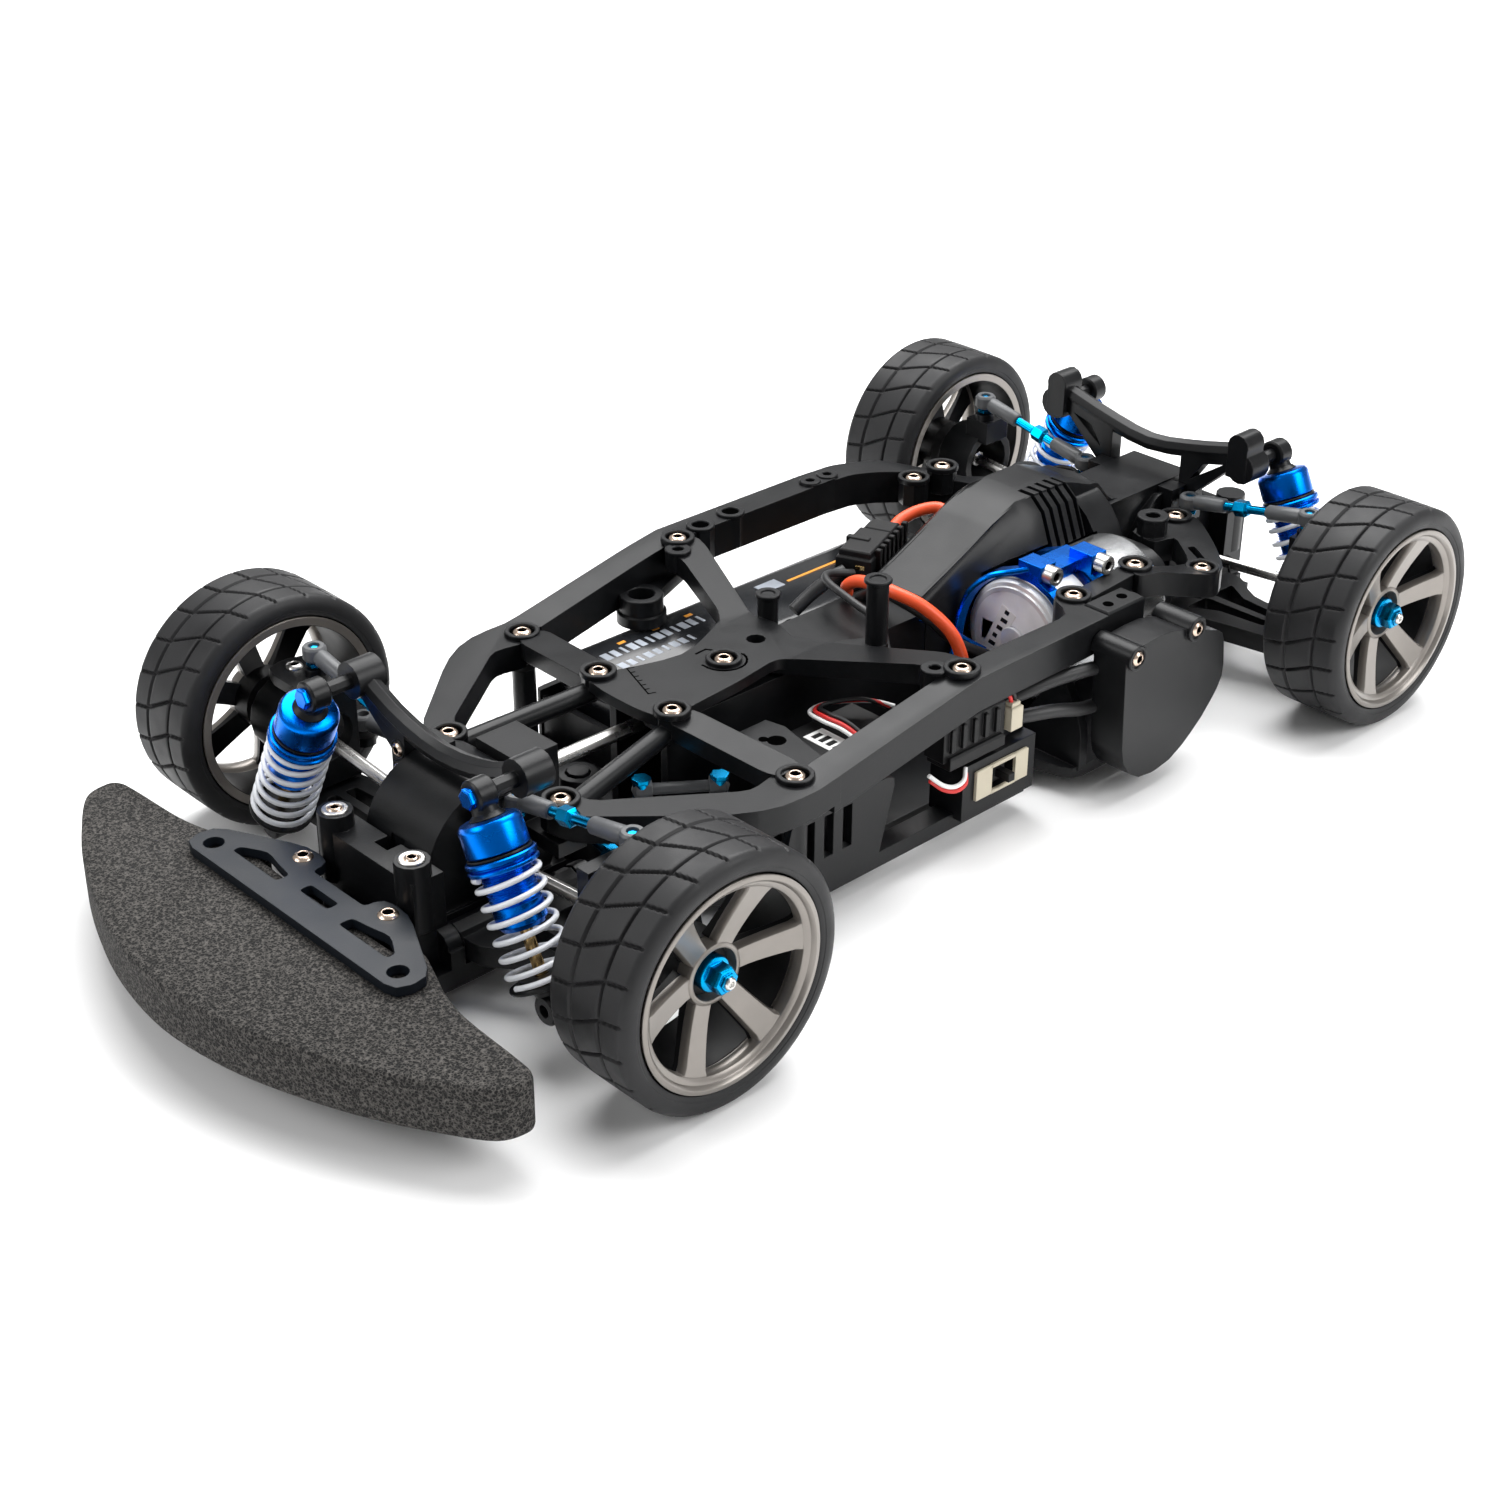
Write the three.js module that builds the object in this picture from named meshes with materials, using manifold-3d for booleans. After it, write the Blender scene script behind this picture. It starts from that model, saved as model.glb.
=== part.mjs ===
// A one-tenth-scale four-wheel-drive radio-controlled touring chassis, shown without its body shell.
// Millimetres, +Z up. The car's front faces -Y and its left side faces +X.
// Inside the model, Y = 0 is halfway between the axles; the last lines move it to the part's own origin.
import * as THREE from "three";
import { ConvexGeometry } from "three/addons/geometries/ConvexGeometry.js";
import { mergeVertices } from "three/addons/utils/BufferGeometryUtils.js";
import Module from "manifold-3d";

const wasm = await Module();
wasm.setup();

// ---------------------------------------------------------------- driving dimensions
const WHEELBASE = 257;
const AXLE_Z = 32.1;
const TYRE_RADIUS = 32.1;
const TYRE_WIDTH = 25.2;
const FRONT_WHEEL_X = 83.8;
const REAR_WHEEL_X = 81.7;
const BUMPER_FRONT_Y = -213.5;
const AXLE_Y = WHEELBASE / 2;
const GAP = 0.3;

// Suspension geometry, in a corner's own frame: x outboard, y away from the axle line, z up.
const ARM_HINGE = { x: 19, z: 15 };
const ARM_PIN = { x: 65, z: 14.5 };
const LINK_INNER = { x: 20, z: 45 };
const LINK_OUTER = { x: 61.2, z: 53 };
const LINK_Y = 2;
const DAMPER_Y = -17.5;
const DAMPER_TOP = { front: { x: 32, z: 59.5 }, rear: { x: 35, z: 59.4 } };
const DAMPER_FOOT = { front: { x: 55, z: 13.7 }, rear: { x: 57, z: 13.7 } };
const KINGPIN_X = 68;
const DIFF_Z = 27.6;
const TIE_ROD_Z = 28;
const KNUCKLE_BALL = { x: 62, y: 15.5 };

// Steering and drive, in the whole car's frame.
const CRANK = { x: 0, y: -92 };
const CRANK_TIE_BALL = { x: 9, y: -105.2 };
const CRANK_SWEEP_RADIUS = 22.2;
const CRANK_DRAG_BALL = { x: 16, y: -85 };
const HORN = { x: 38, y: -71 };
const HORN_BALL = { x: 27.6, y: -69.4 };
const DRAG_Z = 29.4;
const PROP_Z = 36.5;
const MOTOR = { x: 27, z: 31, radius: 17.9, front: 40, back: 86 };
const SPUR_RADIUS = 18.6;
const PINION_RADIUS = 9;
const GEARS_FRONT_Y = 87.8;
const GEARS_BACK_Y = 92.4;

// ---------------------------------------------------------------- solids from three.js shapes
function toSolid(geometry) {
  const bare = geometry.index ? geometry.toNonIndexed() : geometry.clone();
  bare.deleteAttribute("normal");
  bare.deleteAttribute("uv");
  const merged = mergeVertices(bare, 1e-4);
  return new wasm.Manifold(
    new wasm.Mesh({
      numProp: 3,
      vertProperties: new Float32Array(merged.attributes.position.array),
      triVerts: new Uint32Array(merged.index.array),
    }),
  );
}

function toGeometry(solid) {
  const mesh = solid.getMesh();
  const geometry = new THREE.BufferGeometry();
  geometry.setAttribute("position", new THREE.BufferAttribute(mesh.vertProperties, 3));
  geometry.setIndex(new THREE.BufferAttribute(mesh.triVerts, 1));
  const flat = geometry.toNonIndexed();
  flat.computeVertexNormals();
  return flat;
}

const join = (...solids) => solids.flat().reduce((whole, next) => whole.add(next));
const cut = (base, ...tools) => tools.flat().reduce((rest, tool) => rest.subtract(tool), base);
const common = (a, b) => a.intersect(b);

// A block between two values on each axis.
function block([x0, x1], [y0, y1], [z0, z1]) {
  const geometry = new THREE.BoxGeometry(x1 - x0, y1 - y0, z1 - z0);
  return toSolid(geometry.translate((x0 + x1) / 2, (y0 + y1) / 2, (z0 + z1) / 2));
}

// An outline whose corners [u, v, radius] are rounded by their radius, or by a shared one.
function outline(corners, sharedRadius = 0) {
  const shape = new THREE.Shape();
  const count = corners.length;
  corners.forEach(([u, v, radius = sharedRadius], index) => {
    const corner = new THREE.Vector2(u, v);
    const before = new THREE.Vector2(...corners[(index + count - 1) % count].slice(0, 2));
    const after = new THREE.Vector2(...corners[(index + 1) % count].slice(0, 2));
    const back = Math.min(radius, corner.distanceTo(before) * 0.45);
    const ahead = Math.min(radius, corner.distanceTo(after) * 0.45);
    const enter = before.sub(corner).setLength(back || 1e-6).add(corner);
    const leave = after.sub(corner).setLength(ahead || 1e-6).add(corner);
    if (index === 0) shape.moveTo(enter.x, enter.y);
    else shape.lineTo(enter.x, enter.y);
    if (radius) shape.quadraticCurveTo(u, v, leave.x, leave.y);
  });
  shape.closePath();
  return shape;
}

function extrude(shape, depth, steps = 2) {
  return new THREE.ExtrudeGeometry(shape, { depth, bevelEnabled: false, curveSegments: steps });
}

// Plates extruded along Z, along Y and along X from an outline of corners.
function plate(corners, [z0, z1], radius = 0) {
  return toSolid(extrude(outline(corners, radius), z1 - z0).translate(0, 0, z0));
}

function wallAcross(corners, [y0, y1], radius = 0) {
  const turn = new THREE.Matrix4().makeBasis(
    new THREE.Vector3(1, 0, 0),
    new THREE.Vector3(0, 0, 1),
    new THREE.Vector3(0, -1, 0),
  );
  const geometry = extrude(outline(corners, radius), y1 - y0).applyMatrix4(turn);
  return toSolid(geometry.translate(0, y1, 0));
}

function wallAlong(corners, [x0, x1], radius = 0) {
  const turn = new THREE.Matrix4().makeBasis(
    new THREE.Vector3(0, 1, 0),
    new THREE.Vector3(0, 0, 1),
    new THREE.Vector3(1, 0, 0),
  );
  const geometry = extrude(outline(corners, radius), x1 - x0).applyMatrix4(turn);
  return toSolid(geometry.translate(x0, 0, 0));
}

// A profile of [radius, distance] pairs turned round the line that leaves `from` towards `to`.
function turned(profile, from, to, sides = 12) {
  const points = profile.map(([radius, distance]) => new THREE.Vector2(radius, distance));
  const geometry = new THREE.LatheGeometry(points, sides);
  const start = new THREE.Vector3(...from);
  const direction = new THREE.Vector3(...to).sub(start).normalize();
  const turn = new THREE.Quaternion().setFromUnitVectors(new THREE.Vector3(0, 1, 0), direction);
  return toSolid(geometry.applyQuaternion(turn).translate(...from));
}

function bar(from, to, radius, sides = 10) {
  const length = new THREE.Vector3(...from).distanceTo(new THREE.Vector3(...to));
  return turned([[0, 0], [radius, 0], [radius, length], [0, length]], from, to, sides);
}

function hull(points) {
  return toSolid(new ConvexGeometry(points.map((point) => new THREE.Vector3(...point))));
}

// A flat bar with round ends between two upright pegs.
function strap(a, b, radius, zs, endRadius = radius) {
  const rim = (centre, r) =>
    Array.from({ length: 10 }, (_, k) => {
      const angle = (k * Math.PI) / 5;
      return [centre.x + r * Math.cos(angle), centre.y + r * Math.sin(angle)];
    });
  const ring = [...rim(a, radius), ...rim(b, endRadius)];
  return hull(ring.flatMap(([x, y]) => zs.map((z) => [x, y, z])));
}

// A round rod along a smooth curve.
function curvedRod(points, radius, steps = 10, sides = 8) {
  const path = new THREE.CatmullRomCurve3(points.map((point) => new THREE.Vector3(...point)));
  const section = new THREE.Shape().absarc(0, 0, radius, 0, 2 * Math.PI);
  const settings = { steps, curveSegments: sides / 2, bevelEnabled: false, extrudePath: path };
  return toSolid(new THREE.ExtrudeGeometry(section, settings));
}

// ---------------------------------------------------------------- materials and the scene graph
const paint = (color, roughness, metalness = 0) =>
  new THREE.MeshStandardMaterial({ color, roughness, metalness });

const BLACK_PLASTIC = paint(0x242527, 0.55);
const GREY_PLASTIC = paint(0x4a4b4d, 0.6);
const BLUE_METAL = paint(0x0b6fd0, 0.3, 1);
const STEEL = paint(0xa9a9a6, 0.35, 1);
const TITANIUM_PLASTIC = paint(0x6f6a64, 0.4, 0.4);
const TYRE_RUBBER = paint(0x1b1c1e, 0.85);
const WHITE_SPRING = paint(0xe6e8ea, 0.4);
const CHARCOAL_FOAM = paint(0x3a3836, 0.95);
const CARBON_PLASTIC = paint(0x2b3138, 0.45);
const MOTOR_CAN = paint(0xb9bbbd, 0.3, 1);
const BATTERY_FILM = paint(0x17181b, 0.4);

const root = new THREE.Group();
const car = new THREE.Group();
root.add(car);

function node(name, solid, material, parent = car) {
  const mesh = new THREE.Mesh(toGeometry(solid), material);
  mesh.name = name;
  parent.add(mesh);
}

// ---------------------------------------------------------------- suspension corner
function lowerArm(end) {
  const { x: hingeX, z: hingeZ } = ARM_HINGE;
  const { x: pinX, z: pinZ } = ARM_PIN;
  const body = plate(
    [[hingeX, -17.5], [28, -17.5, 3], [38, -9, 5], [60, -9, 2], [60, 9, 2], [38, 13, 5], [28, 17.5, 3],
      [hingeX, 17.5]],
    [11, 16.5],
  );
  const windows = [-1, 1].map((side) =>
    plate([[29, side * 1.5], [52, side * 1.2], [52, side * 4.6], [37, side * 6], [29, side * 11]], [9, 18],
      1.2),
  );
  const ears = [-1, 1].map((side) =>
    join(
      bar([pinX, side * 5.6, pinZ], [pinX, side * 9.5, pinZ], 3.2),
      block([56, pinX], side < 0 ? [-9.5, -5.6] : [5.6, 9.5], [11.5, 16.8]),
    ),
  );
  const foot = DAMPER_FOOT[end];
  return join(
    cut(body, windows),
    bar([hingeX, -18, hingeZ], [hingeX, 18, hingeZ], 4, 8),
    bar([hingeX, -22.2, hingeZ], [hingeX, 22.2, hingeZ], 1.4, 6),
    ears,
    bar([pinX, -9.5, pinZ], [pinX, 9.5, pinZ], 1.4, 6),
    bar([foot.x, DAMPER_Y + 2.9, foot.z], [foot.x, -7, foot.z], 2.8),
  );
}

// The lug that the hub parts share: it turns on the arm's outer pin, between the arm's two ears.
function pinLug() {
  const lug = join(
    bar([ARM_PIN.x, -5.2, ARM_PIN.z], [ARM_PIN.x, 5.2, ARM_PIN.z], 3.2),
    block([ARM_PIN.x - 3.2, ARM_PIN.x + 3.2], [-5.2, 5.2], [ARM_PIN.z, 18.5]),
  );
  return cut(lug, bar([ARM_PIN.x, -6, ARM_PIN.z], [ARM_PIN.x, 6, ARM_PIN.z], 1.9, 8));
}

const linkPost = () => bar([LINK_OUTER.x, LINK_Y, 45], [LINK_OUTER.x, LINK_Y, 49], 3);

function hubCarrier() {
  const wall = block([54.5, 58.5], [-8.8, 8.8], [18, 47]);
  const shaftHole = bar([50, 0, AXLE_Z], [60, 0, AXLE_Z], 7, 16);
  const jaws = [[18, 21], [44, 47]].map((zs) =>
    plate([[54.5, -6.5], [73, -6.5, 5], [73, 6.5, 5], [54.5, 6.5]], zs),
  );
  return join(cut(wall, shaftHole), jaws, pinLug(), linkPost());
}

function knuckle() {
  const pivots = join(
    bar([KINGPIN_X, 0, 41], [KINGPIN_X, 0, 43.7], 3.6),
    bar([KINGPIN_X, 0, 21.3], [KINGPIN_X, 0, 24], 3.6),
  );
  const bore = bar([65, 0, AXLE_Z], [76, 0, AXLE_Z], 8, 16);
  const housing = bar([66, 0, AXLE_Z], [75, 0, AXLE_Z], 10.4, 16);
  // The arm passes over the hub carrier's lower jaw as it swings.
  const arm = strap({ x: 71.5, y: 9 }, KNUCKLE_BALL, 3, [21.3, 23.9]);
  const armRoot = hull([
    [68.5, 6.5, 21.3], [74.5, 6.5, 21.3], [68.5, 11.5, 21.3], [74.5, 11.5, 21.3],
    [68.5, 6.5, 27], [74.5, 6.5, 27], [68.5, 9.6, 27], [74.5, 9.6, 27],
  ]);
  return join(cut(join(housing, pivots, armRoot), bore), arm);
}

function rearUpright() {
  const bore = bar([55, 0, AXLE_Z], [75, 0, AXLE_Z], 8, 16);
  const housing = join(
    bar([60.5, 0, AXLE_Z], [72.5, 0, AXLE_Z], 10.6, 16),
    block([60.5, 69], [-5.2, 5.2], [18, 24]),
    block([57.5, 66], [-5, 5], [40, 47]),
    block([57.5, 66], [-2, 2], [20, 46]),
  );
  return join(cut(housing, bore), pinLug(), linkPost());
}

// A thin rod between two thicker ends, all turned on one axis.
function endedRod(inner, outer, radius, endRadius, endLength) {
  const length = new THREE.Vector3(...inner).distanceTo(new THREE.Vector3(...outer));
  const half = [[0, -endRadius], [endRadius, -endRadius * 0.6], [endRadius, endLength],
    [radius, endLength]];
  const mirrored = half.map(([r, along]) => [r, length - along]).reverse();
  return turned([...half, ...mirrored], inner, outer, 8);
}

// The drive shaft lies on the line from the differential's cup to the kingpin, short of both cups'
// floors by the travel that the lower arm gives it.
const SHAFT_LINE_START = 16.5;
const onShaftLine = (x) => [
  x,
  0,
  DIFF_Z + ((AXLE_Z - DIFF_Z) * (x - SHAFT_LINE_START)) / (KINGPIN_X - SHAFT_LINE_START),
];
const driveShaft = () => endedRod(onShaftLine(17.5), onShaftLine(66.2), 1.7, 2.6, 1.6);

// A threaded rod screwed into two plastic ball ends.
const turnbuckle = (inner, outer) => endedRod(inner, outer, 1.6, 2.9, 13);

const upperLink = () =>
  turnbuckle([LINK_INNER.x, LINK_Y, LINK_INNER.z], [LINK_OUTER.x, LINK_Y, LINK_OUTER.z]);

const tieRod = () =>
  turnbuckle([CRANK_TIE_BALL.x, AXLE_Y + CRANK_TIE_BALL.y, TIE_ROD_Z],
    [KNUCKLE_BALL.x, KNUCKLE_BALL.y, TIE_ROD_Z]);

function damperEnds(end) {
  const top = [DAMPER_TOP[end].x, DAMPER_Y, DAMPER_TOP[end].z];
  const foot = [DAMPER_FOOT[end].x, DAMPER_Y, DAMPER_FOOT[end].z];
  return { top, foot };
}

function eyelet([x, y, z], halfWidth, boreRadius) {
  const across = (radius, half, sides) => bar([x, y - half, z], [x, y + half, z], radius, sides);
  return { eye: across(4, halfWidth, 12), bore: across(boreRadius, halfWidth + 1, 8) };
}

function damperBody(end) {
  const { top, foot } = damperEnds(end);
  const { eye, bore } = eyelet(top, 3, 2.5);
  const barrel = turned(
    [
      [0, 3], [3.2, 3], [3.2, 5.5], [7.5, 5.5], [7.5, 13.5],
      [8.4, 13.5], [8.4, 17], [6, 17], [6, 31.5], [2, 31.5], [2, 18], [0, 18],
    ],
    top,
    foot,
    12,
  );
  return cut(join(eye, barrel), bore);
}

function damperRod(end) {
  const { top, foot } = damperEnds(end);
  const { eye, bore } = eyelet(foot, 2.6, 1.6);
  const rod = turned(
    [[0, 23], [1.4, 23], [1.4, 44.4], [6, 44.4], [6, 45.6], [2.3, 45.6], [2.3, 49], [0, 49]],
    top,
    foot,
    8,
  );
  return cut(join(eye, rod), bore);
}

function spring(end) {
  const { top, foot } = damperEnds(end);
  return turned([[6.8, 17.3], [8.3, 17.3], [8.3, 44.1], [6.8, 44.1], [6.8, 17.3]], top, foot, 12);
}

// ---------------------------------------------------------------- wheels
function tyre(wheelX) {
  const half = TYRE_WIDTH / 2;
  const bead = 26.6;
  return turned(
    [
      [bead, -half + 1], [30, -half], [TYRE_RADIUS, -half + 3],
      [TYRE_RADIUS, half - 3], [30, half], [bead, half - 1], [bead, -half + 1],
    ],
    [wheelX, 0, AXLE_Z],
    [wheelX + 1, 0, AXLE_Z],
    28,
  );
}

function rim(wheelX, spokePhase) {
  const at = (x, y = 0, z = 0) => [wheelX + x, y, AXLE_Z + z];
  const barrel = turned(
    [
      [24, -12.3], [26.2, -12.3], [25.4, -11], [25.4, 11], [26.2, 12.3],
      [22.6, 12.3], [22.6, 8], [24, 7], [24, -12.3],
    ],
    at(0),
    at(1),
    20,
  );
  const spokes = Array.from({ length: 6 }, (_, k) => {
    const angle = THREE.MathUtils.degToRad(spokePhase + 60 * k);
    const spot = (radius, side, x) =>
      at(
        x,
        radius * Math.cos(angle) - side * Math.sin(angle),
        radius * Math.sin(angle) + side * Math.cos(angle),
      );
    const sections = [[4, 2.3, 1, 6], [23.6, 3.4, 7, 10.8]];
    return hull(
      sections.flatMap(([radius, half, low, high]) => [
        spot(radius, -half, low),
        spot(radius, half, low),
        spot(radius, -half * 0.8, high),
        spot(radius, half * 0.8, high),
      ]),
    );
  });
  const cupBack = 74 - wheelX;
  const cupMouth = 64 - wheelX;
  const hub = turned(
    [
      [0, cupMouth + 7], [5.2, cupMouth + 7], [5.2, cupMouth], [7, cupMouth], [7, cupBack],
      [2.5, cupBack], [2.5, -4], [6.5, -4], [6.5, 6.5], [0, 6.5],
    ],
    at(0),
    at(1),
    10,
  );
  return join(barrel, spokes, hub);
}

// One corner of the car, built as the front left one and mirrored for the others.
function corner(end, side) {
  const group = new THREE.Group();
  const front = end === "front";
  group.position.y = front ? -AXLE_Y : AXLE_Y;
  group.scale.set(side === "left" ? 1 : -1, front ? 1 : -1, 1);
  car.add(group);
  const add = (piece, solid, material) => node(`${end}_${side}_${piece}`, solid, material, group);
  const wheelX = front ? FRONT_WHEEL_X : REAR_WHEEL_X;
  add("lower_arm", lowerArm(end), BLACK_PLASTIC);
  if (front) {
    add("hub_carrier", hubCarrier(), BLACK_PLASTIC);
    add("knuckle", knuckle(), BLACK_PLASTIC);
    add("tie_rod", tieRod(), GREY_PLASTIC);
  } else {
    add("upright", rearUpright(), BLACK_PLASTIC);
  }
  add("rim", rim(wheelX, front ? 4.5 : 51.4), TITANIUM_PLASTIC);
  add("tyre", tyre(wheelX), TYRE_RUBBER);
  add("drive_shaft", driveShaft(), STEEL);
  add("upper_link", upperLink(), GREY_PLASTIC);
  add("damper_body", damperBody(end), BLUE_METAL);
  add("damper_rod", damperRod(end), STEEL);
  add("spring", spring(end), WHITE_SPRING);
}

// ---------------------------------------------------------------- gearboxes
// The case of one differential, with the brackets for arms, links and damper stay.
// `out` is -1 at the front of the car and 1 at its back: it points away from the middle.
function gearbox(out) {
  const y = (distance) => out * (AXLE_Y + distance);
  const ys = (a, b) => [Math.min(y(a), y(b)), Math.max(y(a), y(b))];
  const axisY = y(0);
  const caseRadius = 19.6;
  const casing = bar([-12.5, axisY, DIFF_Z], [12.5, axisY, DIFF_Z], caseRadius, out < 0 ? 32 : 16);
  const bearings = bar([-18.5, axisY, DIFF_Z], [18.5, axisY, DIFF_Z], 8, 12);
  const base = block([-24, 24], ys(-22.5, 27), [5, 10.3]);
  const sill = block([-13.5, 13.5], ys(-21, 27), [5, 17.5]);
  const bulkhead = block([-19, 19], ys(19.5, 28.5), [5, 34]);
  const solids = [casing, bearings, base, sill, bulkhead];
  const holes = [];
  for (const side of [-1, 1]) {
    const span = (a, b) => [Math.min(side * a, side * b), Math.max(side * a, side * b)];
    solids.push(bar([side * 15.2, y(25.4), 20], [side * 15.2, y(25.4), 38.1], 4.4, 12));
    for (const [near, far] of [[18.4, 22.5], [-18.4, -22.5]]) {
      solids.push(
        bar([side * ARM_HINGE.x, y(near), ARM_HINGE.z], [side * ARM_HINGE.x, y(far), ARM_HINGE.z], 4.2),
        block(span(14, 24), ys(near, far), [5, 15]),
      );
      holes.push(
        bar([side * ARM_HINGE.x, y(near - Math.sign(near)), ARM_HINGE.z],
          [side * ARM_HINGE.x, y(far - 0.2 * Math.sign(far)), ARM_HINGE.z], 1.8, 8),
      );
    }
    holes.push(bar([side * 13, axisY, DIFF_Z], [side * 20, axisY, DIFF_Z], 5.6, 12));
    // Bracket of the upper link, ear of the damper stay and ledge of the upper deck.
    solids.push(
      block(span(8, 16), ys(-5.5, 1), [38, 48]),
      block(span(11, 26), ys(-8.8, -17.4), [28.5, 32.4]),
    );
  }
  return cut(join(solids), holes);
}

const propChannel = (from, to) => bar([0, from, PROP_Z], [0, to, PROP_Z], 4.6, 12);

function frontGearbox() {
  const nose = block([-8, 8], [-117, -104.4], [33.3, 46.5]);
  const slot = block([-2.6, 2.6], [-152, -146.5], [26, 34.4]);
  const tongue = plate([[-22, -156], [22, -156], [22, -176, 4], [15, -184, 4], [-15, -184, 4],
    [-22, -176, 4]], [8, 10.6]);
  const posts = [-17, 17].map((x) => bar([x, -162.7, 9], [x, -162.7, 25], 3.6));
  // The hollow in the case's front that the steering crank's arms and balls swing through.
  const crankSweep = bar([CRANK.x, CRANK.y, 18], [CRANK.x, CRANK.y, 31.8], CRANK_SWEEP_RADIUS, 40);
  return cut(join(gearbox(-1), nose, tongue, posts), propChannel(-121, -100), slot, crankSweep);
}

// The back gearbox and the long hump that covers the prop shaft and the gears.
function rearGearbox() {
  const humpTop = [[22.8, 44], [41, 52, 12], [58, 61, 10], [81, 61, 3], [93, 56.6, 2], [96, 56.6, 2],
    [103, 48.5, 3], [138, 48.5]];
  const ridge = wallAlong([[22.8, 8.4], ...humpTop, [138, 22], [104, 8.4]], [-9, 9]);
  const shoulder = (side) =>
    hull([
      [side * 8, 22.8, 8.4], [side * 11, 22.8, 8.4], [side * 11, 22.8, 42], [side * 8, 22.8, 44],
      [side * 8.5, 60, 61], [side * 13, 60, 57], [side * 17, 60, 47], [side * 17, 60, 8.4],
      [side * 8.5, 82, 60.6], [side * 13, 82, 57], [side * 17, 82, 47], [side * 17, 82, 8.4],
      [side * 8, 60, 8.4],
    ]);
  const gearCase = bar([0, 85, PROP_Z], [0, 96, PROP_Z], 20.6, 24);
  const pinionCase = join(
    bar([MOTOR.x, 86.3, MOTOR.z], [MOTOR.x, 96, MOTOR.z], 12, 20),
    block([0, MOTOR.x], [86.3, 96], [MOTOR.z - 12, MOTOR.z + 12]),
  );
  const foot = block([-14, 14], [82, 107], [5, 20]);
  const boxBack = block([-10.5, 10.5], [96, 138], [20, 48.5]);
  const cavity = [
    bar([0, GEARS_FRONT_Y - 0.8, PROP_Z], [0, GEARS_BACK_Y + 0.8, PROP_Z], SPUR_RADIUS + 0.9, 20),
    bar([MOTOR.x, GEARS_FRONT_Y - 0.8, MOTOR.z], [MOTOR.x, GEARS_BACK_Y + 0.8, MOTOR.z],
      PINION_RADIUS + 0.8, 14),
    bar([MOTOR.x, 84, MOTOR.z], [MOTOR.x, 90, MOTOR.z], 2.6, 10),
  ];
  const motorSpace = bar([MOTOR.x, MOTOR.front - 4, MOTOR.z], [MOTOR.x, MOTOR.back + GAP, MOTOR.z],
    MOTOR.radius + 0.8, 20);
  const strapSpace = bar([MOTOR.x, 42, MOTOR.z], [MOTOR.x, 68, MOTOR.z], 20.9, 20);
  const louvres = [0, 1, 2, 3, 4].map((k) =>
    wallAcross([[4, 63], [12, 63], [21, 52], [21, 45], [15, 45], [4, 59.6]],
      [66.5 + 3.4 * k, 68 + 3.4 * k]),
  );
  const body = join(gearbox(1), ridge, shoulder(1), shoulder(-1), gearCase, pinionCase, foot, boxBack);
  return cut(body, propChannel(20, 122), cavity, motorSpace, strapSpace, louvres);
}

// ---------------------------------------------------------------- chassis
function lowerChassis() {
  const floor = plate(
    [
      [-22, -104], [22, -104], [27, -96, 4], [47, -74, 6], [50, -66, 3], [50, -46, 5], [45, -34, 5],
      [45, 26, 3],
      [60, 30, 4], [60, 66, 6], [44, 76, 6], [24, 81.6, 3], [-24, 81.6, 3], [-46, 70, 6], [-54.5, 62, 6],
      [-54.5, -62, 6], [-46, -74, 6], [-27, -96, 4],
    ],
    [5, 8],
  );
  const spine = cut(block([-11, 11], [-72, 22.4], [5, 40.2]), block([-8.5, 8.5], [-73, 24], [10, 38.9]));
  const trayWalls = [
    plate([[-54.5, -62, 3], [-52.4, -62], [-52.4, 62], [-54.5, 62, 3]], [5, 22]),
    block([-52.5, -20], [-61.5, -59.4], [5, 20]),
    block([-52.5, -20], [61.4, 63.5], [5, 20]),
  ];
  const sideWall = cut(
    wallAlong([[-76, 8], [-40, 8], [-34, 30, 3], [-52, 31.4, 3], [-70, 31.4, 3]], [52.2, 54.6]),
    [-66, -59.5, -53].map((y) => block([50, 56], [y, y + 3.2], [16, 28])),
  );
  const sideSill = block([48.4, 54.6], [-70, 16], [5, 9.4]);
  const switchTower = cut(
    join(block([46, 57.4], [-12, 16], [8, 24]), block([46, 53], [-12, 16], [20, 27.5])),
    block([54, 60], [-1.5, 7.5], [13.6, 20.4]),
  );
  const cradle = wallAcross(
    [[4, 7], [60, 7], [60, 20, 4], [52, 34, 3], [47.5, 34], [45, 24, 6], [38, 15, 6], [27, 11.6, 8],
      [17, 15, 6], [9, 24, 4], [8.7, 30], [4, 30]],
    [MOTOR.front - 8, MOTOR.front - 5],
  );
  const motorCradle = cut(cradle, block([-12, 14], [20, 60], [0, 60]));
  const crankPost = join(bar([0, CRANK.y, 6], [0, CRANK.y, 18.5], 6),
    bar([0, CRANK.y, 6], [0, CRANK.y, 31], 2.9));
  const deckPosts = [-1, 1].map((side) => {
    const [x, y] = [side * 52.2, -67.4];
    const foot = block([x - (side > 0 ? 3.2 : 0), x + (side > 0 ? 0 : 3.2)], [y - 3, y + 3], [5, 9.4]);
    return join(bar([x, y, 6], [x, y, 31.2], 3.2), foot);
  });
  return join(floor, spine, trayWalls, sideWall, sideSill, switchTower, motorCradle, crankPost, deckPosts);
}

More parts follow.
